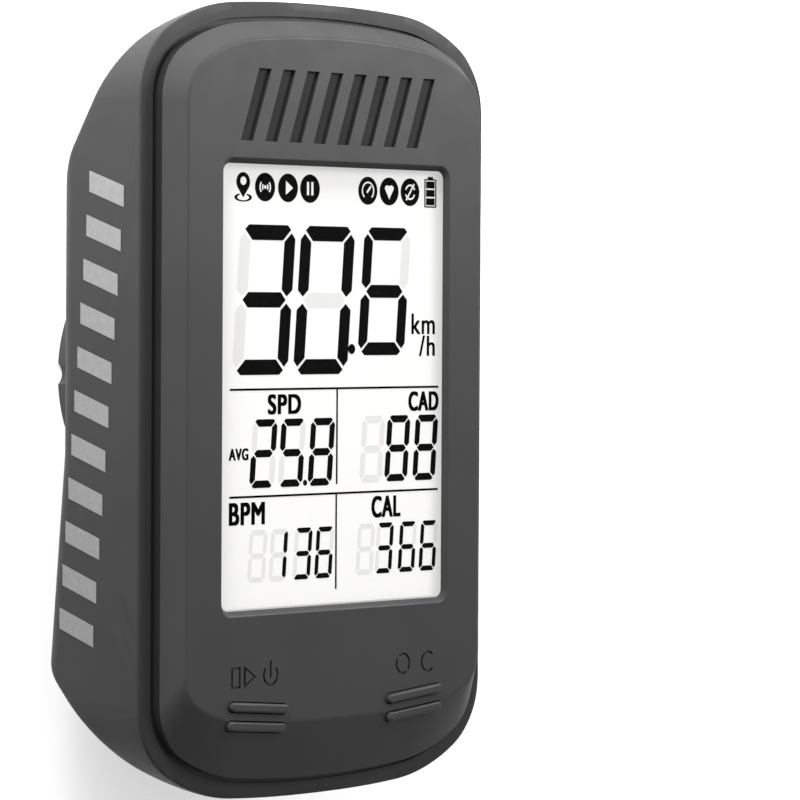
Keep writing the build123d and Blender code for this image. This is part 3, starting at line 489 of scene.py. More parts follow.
def foot_arcs():
    """Centre, radius and first angle of the arcs in one quarter of the foot's outline."""
    half_width, half_length = COVER_HIGH.x, (COVER_HIGH.y - COVER_LOW.y) / 2
    wide, shoulder, corner = (radius * MM for radius in FOOT_RADII)
    reach = half_width - corner - (shoulder - corner) * sin(SHOULDER_TURN)
    first_turn = asin(reach / (wide - shoulder))
    end = (0.0, half_length - wide)
    bend = (end[0] + (wide - shoulder) * sin(first_turn), end[1] + (wide - shoulder) * cos(first_turn))
    step = shoulder - corner
    knee = (bend[0] + step * sin(SHOULDER_TURN), bend[1] + step * cos(SHOULDER_TURN))
    return ((end, wide, pi / 2 - first_turn), (bend, shoulder, pi / 2 - SHOULDER_TURN), (knee, corner, 0.0))


def outside_foot(x, y):
    """How far points lie outside the outline of the cover's foot, negative within it."""
    across, along = np.abs(x), np.abs(y - BODY_CENTRE.y)
    distance = across - COVER_HIGH.x
    for (centre_x, centre_y), radius, first_angle in reversed(foot_arcs()):
        away_x, away_y = across - centre_x, along - centre_y
        beyond = np.arctan2(away_y, away_x) > first_angle
        distance = np.where(beyond, np.hypot(away_x, away_y) - radius, distance)
    return distance


def round_max(first, second, width):
    """The larger of two distances, rounded where they differ by less than a width."""
    near = np.maximum(width - np.abs(first - second), 0) / width
    return np.maximum(first, second) + near * near * width / 4


def back_slopes():
    """The flat slopes of the back, as groups of (normal, offset); a side's halves share a group."""
    shape = bmesh.new()
    shape.from_mesh(frame["nodes"]["rear_housing"].data)
    areas = {}
    for face in shape.faces:
        if face.normal.z < BACK_TILT:
            offset = face.normal.dot(face.verts[0].co)
            key = (tuple(round(value, 3) for value in face.normal), round(offset / HAIR))
            area = areas.get(key, (0.0,))[0]
            areas[key] = (area + face.calc_area(), face.normal.copy(), offset)
    shape.free()
    largest = {}
    for (normal, _), found in areas.items():
        if found[0] > LEAST_SLOPE and found[0] > largest.get(normal, (0,))[0]:
            largest[normal] = found
    groups = {}
    for normal, (_, exact, offset) in largest.items():
        side = (normal[0] > SIDE_TILT) - (normal[0] < -SIDE_TILT)
        group = side if side else normal
        groups.setdefault(group, []).append((exact, offset))
    return list(groups.values())


def outside_skin(points, slopes, edge):
    """How far points lie outside the rounded skin of the housing, negative within it."""
    x, y, z = points.T
    wall = (outside_foot(x, y) - RIM_GROW) * cos(WALL_DRAFT)
    wall += (SHELL_HIGH.z - RIM_DROP - z) * sin(WALL_DRAFT)
    body = wall
    for halves in slopes:
        slope = np.full(len(points), np.inf)
        for normal, offset in halves:
            slope = np.minimum(slope, points @ np.array(normal) - offset)
        body = round_max(body, slope, edge)
    body = round_max(body, z - SHELL_HIGH.z, RIM_EDGE)
    turret = round_max(np.hypot(x, y) - TURRET_RADIUS, SHELL_LOW.z - z, TURRET_EDGE)
    return np.minimum(body, turret) + SKIN_INSET


def cage(columns):
    """Rings of points round the body, from over the middle of the front to under the back."""
    half_x = SHELL_HIGH.x + CAGE_MARGIN
    half_y = (SHELL_HIGH.y - SHELL_LOW.y) / 2 + CAGE_MARGIN
    turn = np.linspace(0, 2 * pi, columns, endpoint=False)
    ring_x = np.sign(np.cos(turn)) * np.abs(np.cos(turn)) ** CAGE_POWER * half_x
    ring_y = np.sign(np.sin(turn)) * np.abs(np.sin(turn)) ** CAGE_POWER * half_y
    top, bottom = SHELL_HIGH.z + CAGE_MARGIN, SHELL_LOW.z - CAGE_MARGIN
    under_rim = top - RIM_BAND
    inner = FRONT_RINGS[-1]
    rows = [(scale, top) for scale in FRONT_RINGS]
    rows += [(inner + (1 - inner) * step / FRONT_ROWS, top) for step in range(1, FRONT_ROWS + 1)]
    rows += [(1.0, top - RIM_BAND * step / RIM_ROWS) for step in range(1, RIM_ROWS + 1)]
    rows += [(1.0, under_rim + (bottom - under_rim) * step / WALL_ROWS) for step in range(1, WALL_ROWS + 1)]
    rows += [(1 - step / BACK_ROWS, bottom) for step in range(1, BACK_ROWS - 2)]
    rings = []
    for scale, z in rows:
        level = np.full(columns, z)
        rings.append(np.column_stack((ring_x * scale, ring_y * scale + BODY_CENTRE.y, level)))
    return rings


def skin_mesh(edge):
    """A closed mesh of the rounded skin, found along rays from inside the body."""
    columns = SKIN_COLUMNS
    slopes = back_slopes()
    rings = cage(columns)
    heart = np.array((0.0, BODY_CENTRE.y, (SHELL_LOW.z + SHELL_HIGH.z) / 2))
    targets = np.vstack([*rings, heart + [[0, 0, 1.0]], heart - [[0, 0, 1.0]]])
    rays = targets - heart
    rays /= np.linalg.norm(rays, axis=1)[:, None]
    near, far = np.zeros(len(rays)), np.full(len(rays), RAY_LENGTH)
    for _ in range(HALVINGS):
        middle_way = (near + far) / 2
        outside = outside_skin(heart + rays * middle_way[:, None], slopes, edge) > 0
        far = np.where(outside, middle_way, far)
        near = np.where(outside, near, middle_way)
    points = heart + rays * near[:, None]
    faces = []
    for row in range(len(rings) - 1):
        for column in range(columns):
            after = (column + 1) % columns
            a, b = row * columns, (row + 1) * columns
            faces.append((a + column, b + column, b + after, a + after))
    last = (len(rings) - 1) * columns
    front_pole, back_pole = len(points) - 2, len(points) - 1
    for column in range(columns):
        after = (column + 1) % columns
        faces.append((front_pole, column, after))
        faces.append((back_pole, last + after, last + column))
    mesh = bpy.data.meshes.new("shell_skin")
    mesh.from_pydata([tuple(point) for point in points], [], faces)
    return mesh


def cut_to(piece, cutter):
    """Keep only what a piece shares with a closed cutter, and return it as a plain mesh."""
    modifier = piece.modifiers.new("Skin", "BOOLEAN")
    modifier.operation = "INTERSECT"
    modifier.solver = "EXACT"
    modifier.object = cutter
    bpy.context.view_layer.update()
    mesh = bpy.data.meshes.new_from_object(piece.evaluated_get(bpy.context.evaluated_depsgraph_get()))
    piece.modifiers.clear()
    return mesh


class CYCLING_OT_housing(bpy.types.Operator):
    """Build the rear housing: the frame's walls, posts and sinks inside a skin with soft edges"""

    bl_idname = "cycling.housing"
    bl_label = "Rear housing"

    def execute(self, context):
        casing = context.scene.casing_settings
        skin = bpy.data.objects.new("shell_skin", skin_mesh(casing.shell_edge))
        block = bpy.data.objects.new("shell_block", plain_mesh(welded("rear_housing"), "shell_block"))
        for item in (skin, block):
            context.scene.collection.objects.link(item)
        mesh = cut_to(block, skin)
        mesh.name = "housing_shell"
        for item in (skin, block):
            bpy.data.objects.remove(item)
        if len(mesh.vertices) < len(frame["nodes"]["rear_housing"].data.vertices):
            raise RuntimeError("the housing's skin could not be cut")
        piece = new_piece("housing_shell", mesh, SLOT_OF["rear_housing"])
        piece.data.shade_smooth()
        piece.data.set_sharp_from_angle(angle=radians(SHELL_CREASE))
        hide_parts("rear_housing")
        return {"FINISHED"}


# Front cover


LEVEL = 0.99  # a face that points further up than this lies flat
SLOPING, UPRIGHT = (0.05, LEVEL), (-0.05, 0.05)  # how far up the other face beside an edge points


def meets_face(edge, tilt_range):
    """True for an edge of the cover's flat face whose other side is tilted within a range."""
    low, high = tilts(edge)
    return level_edge(edge, COVER_HIGH.z) and high > LEVEL and tilt_range[0] < low < tilt_range[1]


def is_face_edge(edge):
    """The line between the cover's flat face and its outer bevels."""
    return meets_face(edge, SLOPING) and not within(middle(edge), LENS_LOW, LENS_HIGH)


def is_window_edge(edge):
    """The upper line of the display window."""
    return meets_face(edge, SLOPING) and within(middle(edge), LENS_LOW, LENS_HIGH)


def is_bar_edge(edge):
    """The upper line of the bars pressed into the cover over the display."""
    return meets_face(edge, UPRIGHT) and middle(edge).y > LENS_HIGH.y


LEGEND_ZONE = (LENS_LOW.y - 6 * MM, LENS_LOW.y)  # along the body, from the rear
BAR_ZONE = (LENS_HIGH.y, LENS_HIGH.y + 9 * MM)
PRESSED_DEPTH = 0.4 * MM
PRESSED_REACH = 17 * MM  # nothing is pressed in further out than this from the middle


def paint_pressed(plate, zone, finish):
    """Give the floors and walls of what is pressed into the cover's face a finish of its own."""
    plate.data.materials.append(finish)
    index = len(plate.data.materials) - 1
    for face in plate.data.polygons:
        x, y, z = face.center
        pressed = COVER_HIGH.z - PRESSED_DEPTH < z < COVER_HIGH.z - HAIR
        if pressed and zone[0] < y < zone[1] and abs(x) < PRESSED_REACH:
            face.material_index = index


class CYCLING_OT_cover(bpy.types.Operator):
    """Build the front cover with crisp bevel lines, and dress the seal under it"""

    bl_idname = "cycling.cover"
    bl_label = "Front cover and seal"

    def execute(self, context):
        casing = context.scene.casing_settings
        passes = (
            (casing.cover_edge, is_face_edge),
            (casing.window_edge, is_window_edge),
            (casing.bar_edge, is_bar_edge),
        )
        plate = softened("front_cover", "cover_plate", passes)
        legend = moulded("legend_ink", (0.008, 0.008, 0.008), 0.6, casing.grain)
        # the bars' floors and walls take a darker colour, painted shade in their recesses
        pressed = moulded(
            "pressed_shade_plastic", tuple(casing.pressed_shade_colour), 0.6, casing.grain, Specular_IOR_Level=0.15
        )
        paint_pressed(plate, LEGEND_ZONE, legend)
        paint_pressed(plate, BAR_ZONE, pressed)
        dress("housing_seal")
        return {"FINISHED"}


# Display


def slab(shape, outline, low, high):
    """A thin closed plate with an outline of (x, y) points, counted anticlockwise."""
    area = sum(a[0] * b[1] - b[0] * a[1] for a, b in zip(outline, outline[1:] + outline[:1]))
    points = outline if area > 0 else outline[::-1]
    lower = [shape.verts.new((x, y, low)) for x, y in points]
    upper = [shape.verts.new((x, y, high)) for x, y in points]
    shape.faces.new(upper)
    shape.faces.new(lower[::-1])
    for index, vert in enumerate(lower):
        after = (index + 1) % len(lower)
        shape.faces.new((vert, lower[after], upper[after], upper[index]))


def arc_points(x, y, radius, start, turn, steps=20):
    """Points along an arc, with angles in degrees."""
    angles = [radians(start + turn * step / steps) for step in range(steps + 1)]
    return [(x + radius * cos(angle), y + radius * sin(angle)) for angle in angles]


def arc_band(x, y, radius, width, start, turn, steps=20):
    """Outline of an arc drawn with a stroke."""
    outer = arc_points(x, y, radius + width / 2, start, turn, steps)
    inner = arc_points(x, y, radius - width / 2, start, turn, steps)
    return outer + inner[::-1]


def disc(x, y, radius, steps=40):
    """Outline of a disc."""
    return arc_points(x, y, radius, 0, 360 - 360 / steps, steps - 1)


def rectangle(x, y, width, height):
    """Outline of a rectangle from its middle."""
    return [
        (x + across * width / 2, y + up * height / 2)
        for across, up in ((-1, -1), (1, -1), (1, 1), (-1, 1))
    ]


def stroke(start, end, width):
    """Outline of a straight line drawn with a stroke."""
    along = (Vector(end) - Vector(start)).normalized()
    side = Vector((-along.y, along.x)) * width / 2
    corners = (Vector(start) - side, Vector(end) - side, Vector(end) + side, Vector(start) + side)
    return [tuple(corner) for corner in corners]


SEGMENTS_OF = {
    "0": "abcdef", "1": "bc", "2": "abged", "3": "abgcd", "5": "afgcd", "6": "afgedc",
    "8": "abcdefg", " ": "",
}


def digit_segments(width, height, thick, gap):
    """Outlines of the seven segments of a digit whose lower left corner is the origin."""
    top = [
        (0.7 * thick + gap, height), (width - 0.7 * thick - gap, height),
        (width - 0.36 * thick - gap, height - 0.3 * thick), (width - 1.08 * thick - gap, height - thick),
        (1.08 * thick + gap, height - thick), (0.36 * thick + gap, height - 0.3 * thick),
    ]
    upper_right = [
        (width - 0.36 * thick, height - 0.44 * thick - gap), (width, height - 0.9 * thick),
        (width, height / 2 + 0.65 * thick), (width - 0.5 * thick, height / 2 + 0.15 * thick + gap),
        (width - thick, height / 2 + 0.6 * thick + gap), (width - thick, height - thick - gap),
    ]
    half = thick / 2
    bar = [
        (half + gap, height / 2), (thick + gap, height / 2 - half),
        (width - thick - gap, height / 2 - half), (width - half - gap, height / 2),
        (width - thick - gap, height / 2 + half), (thick + gap, height / 2 + half),
    ]

    def flip(outline):
        return [(x, height - y) for x, y in outline]

    def mirror(outline):
        return [(width - x, y) for x, y in outline]

    return {
        "a": top, "b": upper_right, "c": flip(upper_right), "d": flip(top),
        "e": mirror(flip(upper_right)), "f": mirror(upper_right), "g": bar,
    }


LAYOUT_SHIFT, LAYOUT_STRETCH = 0.66, 1.013  # the layout's middle, in millimetres, and its width
LETTER_SPACE = 1.12


class DisplayDrawing:
    """Flat shapes on the display, kept apart by what they are drawn with."""

    SLANT = tan(radians(4.5))

    def __init__(self, ink_height):
        self.layers = {name: bmesh.new() for name in ("ink", "ghost", "mark")}
        base = GLASS_HIGH.z
        self.heights = {
            "ink": (base, base + ink_height),
            "ghost": (base, base + ink_height * 0.5),
            "mark": (base + ink_height, base + ink_height * 1.5),
        }

    @staticmethod
    def across(x):
        """Place across the body of a point of the layout, whose middle is right of the window's."""
        return DISPLAY_CENTRE.x + (LAYOUT_SHIFT + x * LAYOUT_STRETCH) * MM

    def draw(self, layer, outline):
        """Add an outline given in millimetres from the middle of the display."""
        low, high = self.heights[layer]
        points = [(self.across(x), DISPLAY_CENTRE.y + y * MM) for x, y in outline]
        slab(self.layers[layer], points, low, high)

    def figure(self, text, left, bottom, width, height, thick, pitch):
        """A row of digits; a segment that is off is drawn as a ghost, and # is a digit that is off."""
        for index, character in enumerate(text):
            lit = SEGMENTS_OF.get(character, "")
            for name, outline in digit_segments(width, height, thick, 0.06 * thick + 0.03).items():
                leaning = [
                    (left + index * pitch + x + y * self.SLANT, bottom + y) for x, y in outline
                ]
                self.draw("ink" if name in lit else "ghost", leaning)

    def word(self, text, left, bottom, width, height, weight=0.09):
        """Letters scaled to fill a box, drawn four times a little apart to make their strokes heavier."""
        curve = bpy.data.curves.new(text, "FONT")
        curve.body = text
        curve.space_character = LETTER_SPACE
        holder = bpy.data.objects.new(text, curve)
        bpy.context.scene.collection.objects.link(holder)
        bpy.context.view_layer.update()
        letters = bpy.data.meshes.new_from_object(
            holder.evaluated_get(bpy.context.evaluated_depsgraph_get())
        )
        bpy.data.objects.remove(holder)
        xs = [vert.co.x for vert in letters.vertices]
        ys = [vert.co.y for vert in letters.vertices]
        low, high = self.heights["ink"]
        scale_x = width * MM / (max(xs) - min(xs))
        scale_y = height * MM / (max(ys) - min(ys))
        for vert in letters.vertices:
            vert.co.x = self.across(left) + (vert.co.x - min(xs)) * scale_x
            vert.co.y = DISPLAY_CENTRE.y + bottom * MM + (vert.co.y - min(ys)) * scale_y
            vert.co.z = high
        shape = self.layers["ink"]
        for across, up in ((-1, -0.5), (1, -0.5), (1, 0.5), (-1, 0.5)):
            before = set(shape.faces)
            shape.from_mesh(letters)
            fresh = [face for face in shape.faces if face not in before]
            for vert in {vert for face in fresh for vert in face.verts}:
                vert.co += Vector((across, up, 0)) * (weight / 2 * MM)
            grown = bmesh.ops.extrude_face_region(shape, geom=fresh, use_keep_orig=True)
            for item in grown["geom"]:
                if isinstance(item, bmesh.types.BMVert):
                    item.co.z = low

    def badge(self, x, y, radius=1.44):
        """A filled round badge for a white mark."""
        self.draw("ink", disc(x, y, radius))

    def piece(self, layer, name, finish):
        """Turn a layer into a piece on the display."""
        shape = self.layers[layer]
        bmesh.ops.recalc_face_normals(shape, faces=shape.faces)
        mesh = bpy.data.meshes.new(name)
        shape.to_mesh(mesh)
        shape.free()
        return new_piece(name, mesh, SLOT_OF["lcd_glass"], finish=finish)


ICON_Y = 20.05
LINE = 0.22  # stroke of the dividing lines, in millimetres


def draw_status_row(drawing):
    """The row of small status marks along the top of the display."""
    pin_x = -13.5
    drawing.draw("ink", arc_points(pin_x, 20.5, 0.97, -35, 250, 24) + [(pin_x, 18.95)])
    drawing.draw("mark", disc(pin_x, 20.6, 0.42, 24))
    ring = arc_band(0, 0, 1.05, 0.4, 120, 300, 24)
    drawing.draw("ink", [(pin_x + x, 18.95 + y * 0.34) for x, y in ring])
    for x in (-10.36, -7.03, -3.8, 4.87, 8.12, 11.35):
        drawing.badge(x, ICON_Y)
    for radius in (0.38, 0.74):
        for start in (-40, 140):
            drawing.draw("mark", arc_band(-10.36, ICON_Y, radius, 0.17, start, 80, 10))
    drawing.draw("mark", disc(-10.36, ICON_Y, 0.17, 16))
    drawing.draw("mark", [(-7.36, 20.75), (-7.36, 19.35), (-6.32, 20.05)])
    for x in (-4.12, -3.48):
        drawing.draw("mark", rectangle(x, ICON_Y, 0.3, 1.35))
    drawing.draw("mark", arc_band(4.87, ICON_Y, 0.86, 0.16, -50, 280, 24))
    drawing.draw("mark", stroke((4.7, 19.85), (5.3, 20.5), 0.22))
    heart = arc_points(7.8, 20.32, 0.36, 180, -160, 10) + arc_points(8.44, 20.32, 0.36, 160, -160, 10)
    drawing.draw("mark", heart + [(8.12, 19.25)])
    drawing.draw("mark", arc_band(11.35, ICON_Y, 0.72, 0.18, 20, 140, 14))
    drawing.draw("mark", arc_band(11.35, ICON_Y, 0.72, 0.18, 200, 140, 14))
    drawing.draw("mark", stroke((10.75, 19.2), (11.95, 20.9), 0.2))
    battery_x, battery_y = 14.53, 20.0
    for side in (-1, 1):
        drawing.draw("ink", rectangle(battery_x + side * 0.85, battery_y, 0.16, 2.9))
        drawing.draw("ink", rectangle(battery_x, battery_y + side * 1.42, 1.6, 0.14))
    drawing.draw("ink", rectangle(battery_x, battery_y + 1.6, 0.8, 0.24))
    for step in (-1, 0, 1):
        drawing.draw("ink", rectangle(battery_x, battery_y + step * 0.88, 1.3, 0.72))


def draw_readings(drawing):
    """Figures, their captions and the lines between them."""
    drawing.figure("30", -15.0, 1.2, 8.0, 15.08, 1.55, 8.82)
    drawing.figure("6", 3.42, 3.1, 7.1, 13.2, 1.34, 0)
    drawing.draw("ink", disc(2.55, 3.75, 0.52, 24))
    drawing.word("km", 11.75, 5.3, 3.6, 2.1)
    drawing.word("/h", 12.95, 3.0, 2.4, 2.1)
    for y in (-0.25, -11.0):
        drawing.draw("ink", rectangle(0.35, y, 31.2, LINE))
    drawing.draw("ink", rectangle(0.4, -5.15, LINE, 9.8))
    drawing.draw("ink", rectangle(0.35, -15.9, LINE, 9.8))
    drawing.word("SPD", -9.7, -2.75, 4.7, 1.95, 0.22)
    drawing.word("AVG", -15.3, -7.3, 2.7, 1.15, 0.13)
    drawing.figure("25", -12.45, -10.15, 3.55, 6.9, 0.75, 4.15)
    drawing.figure("8", -3.95, -10.15, 3.55, 6.9, 0.75, 0)
    drawing.draw("ink", disc(-4.3, -9.8, 0.3, 20))
    drawing.word("CAD", 11.4, -2.7, 4.55, 1.95, 0.22)
    drawing.figure("#", 3.75, -10.0, 3.45, 6.85, 0.75, 0)
    drawing.figure("88", 7.6, -10.0, 3.5, 6.85, 0.75, 4.35)
    drawing.word("BPM", -15.2, -13.75, 5.0, 2.15, 0.22)
    drawing.figure("##", -12.7, -19.6, 2.55, 5.25, 0.52, 3.1)
    drawing.figure("36", -6.1, -19.6, 2.55, 5.25, 0.52, 3.2)
    for outline in (digit_segments(2.55, 5.25, 0.52, 0.06)[name] for name in "bc"):
        drawing.draw("ink", [(-9.7 + x + y * drawing.SLANT, -19.6 + y) for x, y in outline])
    drawing.word("CAL", 5.8, -13.65, 4.3, 2.15, 0.22)
    drawing.figure("#", 3.3, -19.5, 2.55, 5.25, 0.52, 0)
    drawing.figure("3", 6.2, -19.5, 2.55, 5.25, 0.52, 0)
    drawing.figure("66", 9.75, -19.5, 2.55, 5.25, 0.52, 3.25)


class CYCLING_OT_display(bpy.types.Operator):
    """Draw the segment display and dress the lens, the panel and the light box behind it"""

    bl_idname = "cycling.display"
    bl_label = "Display"

    def execute(self, context):
        settings = context.scene.screen_settings
        drawing = DisplayDrawing(settings.ink_height)
        draw_status_row(drawing)
        draw_readings(drawing)
        ink = ink_finish("segment_ink", settings.ink_colour)
        # the ghost segments and the white marks take the panel's painted glow
        ghost = ink_finish("segment_ghost", settings.ghost_colour, settings.painted_glow)
        drawing.piece("ink", "display_segments", ink)
        drawing.piece("ghost", "display_ghosts", ghost)
        drawing.piece("mark", "display_marks", finish_of("lcd"))
        dress("display_lens", "lcd_glass", "lens_adhesive", "display_driver", "display_frame")
        dress("backlight_guide", "backlight_leds", "lcd_flex", "flex_connector")
        return {"FINISHED"}


# Keys


class CYCLING_OT_keys(bpy.types.Operator):
    """Dress the two keys, their switches and the switch plungers"""

    bl_idname = "cycling.keys"
    bl_label = "Keys"

    def execute(self, context):
        for side in ("left", "right"):
            dress(f"button_{side}", f"tact_switch_{side}", f"switch_plunger_{side}")
        return {"FINISHED"}


# Geometry Nodes


class Tree:
    """A Geometry Nodes tree with named inputs, built from the first node to the last."""

    def __init__(self, name, inputs):
        self.group = bpy.data.node_groups.new(name, "GeometryNodeTree")
        self.group.interface.new_socket(name="Geometry", in_out="OUTPUT", socket_type="NodeSocketGeometry")
        self.group.interface.new_socket(name="Geometry", in_out="INPUT", socket_type="NodeSocketGeometry")
        for title, kind in inputs:
            self.group.interface.new_socket(name=title, in_out="INPUT", socket_type=f"NodeSocket{kind}")
        self.entry = self.group.nodes.new("NodeGroupInput")

    def node(self, kind, **settings):
        """Add a node; a setting is an option of the node."""
        made = self.group.nodes.new(kind)
        for option, value in settings.items():
            setattr(made, option, value)
        return made

    def given(self, title):
        """The output of a named input."""
        return self.entry.outputs[title]

    def join(self, output, target):
        """Link two sockets."""
        self.group.links.new(output, target)

    def close(self, geometry):
        """End the tree: realised instances with the given material."""
        real = self.node("GeometryNodeRealizeInstances")
        paint = self.node("GeometryNodeSetMaterial")
        leave = self.node("NodeGroupOutput")
        self.join(geometry, real.inputs["Geometry"])
        self.join(real.outputs["Geometry"], paint.inputs["Geometry"])
        self.join(self.given("Material"), paint.inputs["Material"])
        self.join(paint.outputs["Geometry"], leave.inputs["Geometry"])

    def grow(self, name, mesh, values):
        """Run the tree on a mesh and return the result as a plain mesh."""
        holder = bpy.data.objects.new(name, mesh)
        modifier = holder.modifiers.new(name, "NODES")
        modifier.node_group = self.group
        for item in self.group.interface.items_tree:
            if item.in_out == "INPUT" and item.name in values:
                modifier[item.identifier] = values[item.name]
        bpy.context.scene.collection.objects.link(holder)
        bpy.context.view_layer.update()
        result = bpy.data.meshes.new_from_object(
            holder.evaluated_get(bpy.context.evaluated_depsgraph_get())
        )
        bpy.data.objects.remove(holder)
        result.name = name
        return result


# Printed bars on the side walls

PRINT_FRONT = (21.0, 18.0)  # middle of the first bar: along the body and up from the floor, in mm
PRINT_REAR = (-22.6, 13.6)  # middle of the last bar
PRINT_LIFT = 0.02 * MM
PRINT_SLANT = 0.3


def wall_x(z):
    """Distance of the side wall's surface from the middle of the body at a height."""
    return SHELL_HIGH.x - (SHELL_HIGH.z - RIM_DROP - z) * tan(WALL_DRAFT)


def bar_row_tree():
    """Slanted flat bars in a row between two points, leaning with the wall."""
    tree = Tree(
        "bar_row",
        (
            ("Bars", "Int"), ("First", "Vector"), ("Last", "Vector"), ("Size", "Vector"),
            ("Slant", "Float"), ("Turn", "Vector"), ("Material", "Material"),
        ),
    )
    row = tree.node("GeometryNodeMeshLine", mode="END_POINTS")
    block = tree.node("GeometryNodeMeshCube")
    place = tree.node("GeometryNodeInputPosition")
    split = tree.node("ShaderNodeSeparateXYZ")
    lean = tree.node("ShaderNodeMath", operation="MULTIPLY")
    shift = tree.node("ShaderNodeCombineXYZ")
    slanted = tree.node("GeometryNodeSetPosition")
    copies = tree.node("GeometryNodeInstanceOnPoints")
    for output, target in (
        (tree.given("Bars"), row.inputs["Count"]),
        (tree.given("First"), row.inputs["Start Location"]),
        (tree.given("Last"), row.inputs["Offset"]),
        (tree.given("Size"), block.inputs["Size"]),
        (place.outputs["Position"], split.inputs["Vector"]),
        (split.outputs["Z"], lean.inputs[0]),
        (tree.given("Slant"), lean.inputs[1]),
        (lean.outputs["Value"], shift.inputs["Y"]),
        (block.outputs["Mesh"], slanted.inputs["Geometry"]),
        (shift.outputs["Vector"], slanted.inputs["Offset"]),
        (row.outputs["Mesh"], copies.inputs["Points"]),
        (slanted.outputs["Geometry"], copies.inputs["Instance"]),
        (tree.given("Turn"), copies.inputs["Rotation"]),
    ):
        tree.join(output, target)
    tree.close(copies.outputs["Instances"])
    return tree


class CYCLING_OT_side_print(bpy.types.Operator):
    """Print a row of slanted bars along each side wall"""

    bl_idname = "cycling.side_print"
    bl_label = "Side print"

    def execute(self, context):
        settings = context.scene.print_settings
        ink = print_finish(tuple(settings.ink_colour))
        tree = bar_row_tree()
        for side, side_name in ((-1, "left"), (1, "right")):
            ends = []
            for along, up in (PRINT_FRONT, PRINT_REAR):
                x = side * (wall_x(up * MM) + PRINT_LIFT / 2)
                ends.append((x, BODY_CENTRE.y + along * MM, up * MM))
            values = {
                "Bars": settings.bars, "First": ends[0], "Last": ends[1], "Slant": side * PRINT_SLANT,
                "Size": (PRINT_LIFT * 2, settings.bar_width, settings.bar_height),
                "Turn": (0.0, side * WALL_DRAFT, 0.0), "Material": ink,
            }
            mesh = tree.grow(f"side_print_{side_name}", bpy.data.meshes.new("seed"), values)
            new_piece(f"side_print_{side_name}", mesh, "housing_plastic")
        return {"FINISHED"}


# Screws

SCREW_SIDES = 32
HEAD_CHAMFER = 0.1 * MM
RECESS_REACH, RECESS_DEPTH = 0.62, 0.42  # of the cross slots, as shares of the head's radius
RECESS_TAPER = 0.7  # size of the recess's floor against its mouth
THREAD_CREST, THREAD_ROOT, SCREW_TIP = 0.55, 0.78, 0.4  # place in the pitch, and shares of the shank
SHANK_RADIUS = 1.0 * MM


def screw_mesh(name, head_radius, head_height, shank_radius, shank_length, flush, settings):
    """A cross-recessed screw along +Z, with its head's outer face at the origin."""
    shape = bmesh.new()
    arm = settings.recess_width * head_radius
    reach = RECESS_REACH * head_radius
    depth = RECESS_DEPTH * head_radius
    cross = []
    for quarter in range(4):
        turn = Matrix.Rotation(quarter * pi / 2, 2)
        for point in ((reach, -arm / 2), (reach, arm / 2), (arm / 2, arm / 2)):
            cross.append(turn @ Vector(point))

    def ring(radius, z):
        turns = [2 * pi * step / SCREW_SIDES for step in range(SCREW_SIDES)]
        return [shape.verts.new((radius * cos(turn), radius * sin(turn), z)) for turn in turns]

    def close_loop(verts):
        return [shape.edges.new((a, b)) for a, b in zip(verts, verts[1:] + verts[:1])]

    def bridge(lower, upper):
        count = len(lower)
        for i in range(count):
            after = (i + 1) % count
            shape.faces.new((lower[i], lower[after], upper[after], upper[i]))

    face_ring = ring(head_radius - HEAD_CHAMFER, 0)
    mouth = [shape.verts.new((p.x, p.y, 0)) for p in cross]
    bmesh.ops.triangle_fill(shape, edges=close_loop(face_ring) + close_loop(mouth), use_beauty=True)
    floor = [shape.verts.new((p.x * RECESS_TAPER, p.y * RECESS_TAPER, depth)) for p in cross]
    bridge(mouth, floor)
    shape.faces.new(floor)
    profile = [(head_radius, HEAD_CHAMFER * 1.2)]
    if flush:
        profile.append((shank_radius, head_height))
    else:
        profile += [(head_radius, head_height), (shank_radius, head_height)]
    z = head_height
    while z < shank_length - settings.thread_pitch:
        profile += [
            (shank_radius, z + THREAD_CREST * settings.thread_pitch),
            (shank_radius * THREAD_ROOT, z + settings.thread_pitch),
        ]
        z += settings.thread_pitch
    profile.append((shank_radius * SCREW_TIP, shank_length))
    before = face_ring
    for radius, height in profile:
        after = ring(radius, height)
        bridge(before, after)
        before = after
    shape.faces.new(before)
    bmesh.ops.recalc_face_normals(shape, faces=shape.faces)
    mesh = bpy.data.meshes.new(name)
    shape.to_mesh(mesh)
    shape.free()
    return mesh


def screw_set_tree():
    """One screw on every point of a mesh."""
    tree = Tree("screw_set", (("Screw", "Object"), ("Turn", "Vector"), ("Material", "Material")))
    model = tree.node("GeometryNodeObjectInfo")
    copies = tree.node("GeometryNodeInstanceOnPoints")
    tree.join(tree.given("Screw"), model.inputs["Object"])
    tree.join(tree.given("Geometry"), copies.inputs["Points"])
    tree.join(model.outputs["Geometry"], copies.inputs["Instance"])
    tree.join(tree.given("Turn"), copies.inputs["Rotation"])
    tree.close(copies.outputs["Instances"])
    return tree


def islands(node):
    """The boxes of the separate solids in a frame node."""
    shape = welded(node)
    left = set(shape.verts)
    boxes = []
    while left:
        group, waiting = set(), [left.pop()]
        while waiting:
            vert = waiting.pop()
            group.add(vert)
            for edge in vert.link_edges:
                other = edge.other_vert(vert)
                if other in left:
                    left.discard(other)
                    waiting.append(other)
        points = [vert.co.copy() for vert in group]
        low = Vector(min(point[axis] for point in points) for axis in range(3))
        high = Vector(max(point[axis] for point in points) for axis in range(3))
        boxes.append((low, high))
    shape.free()
    return boxes


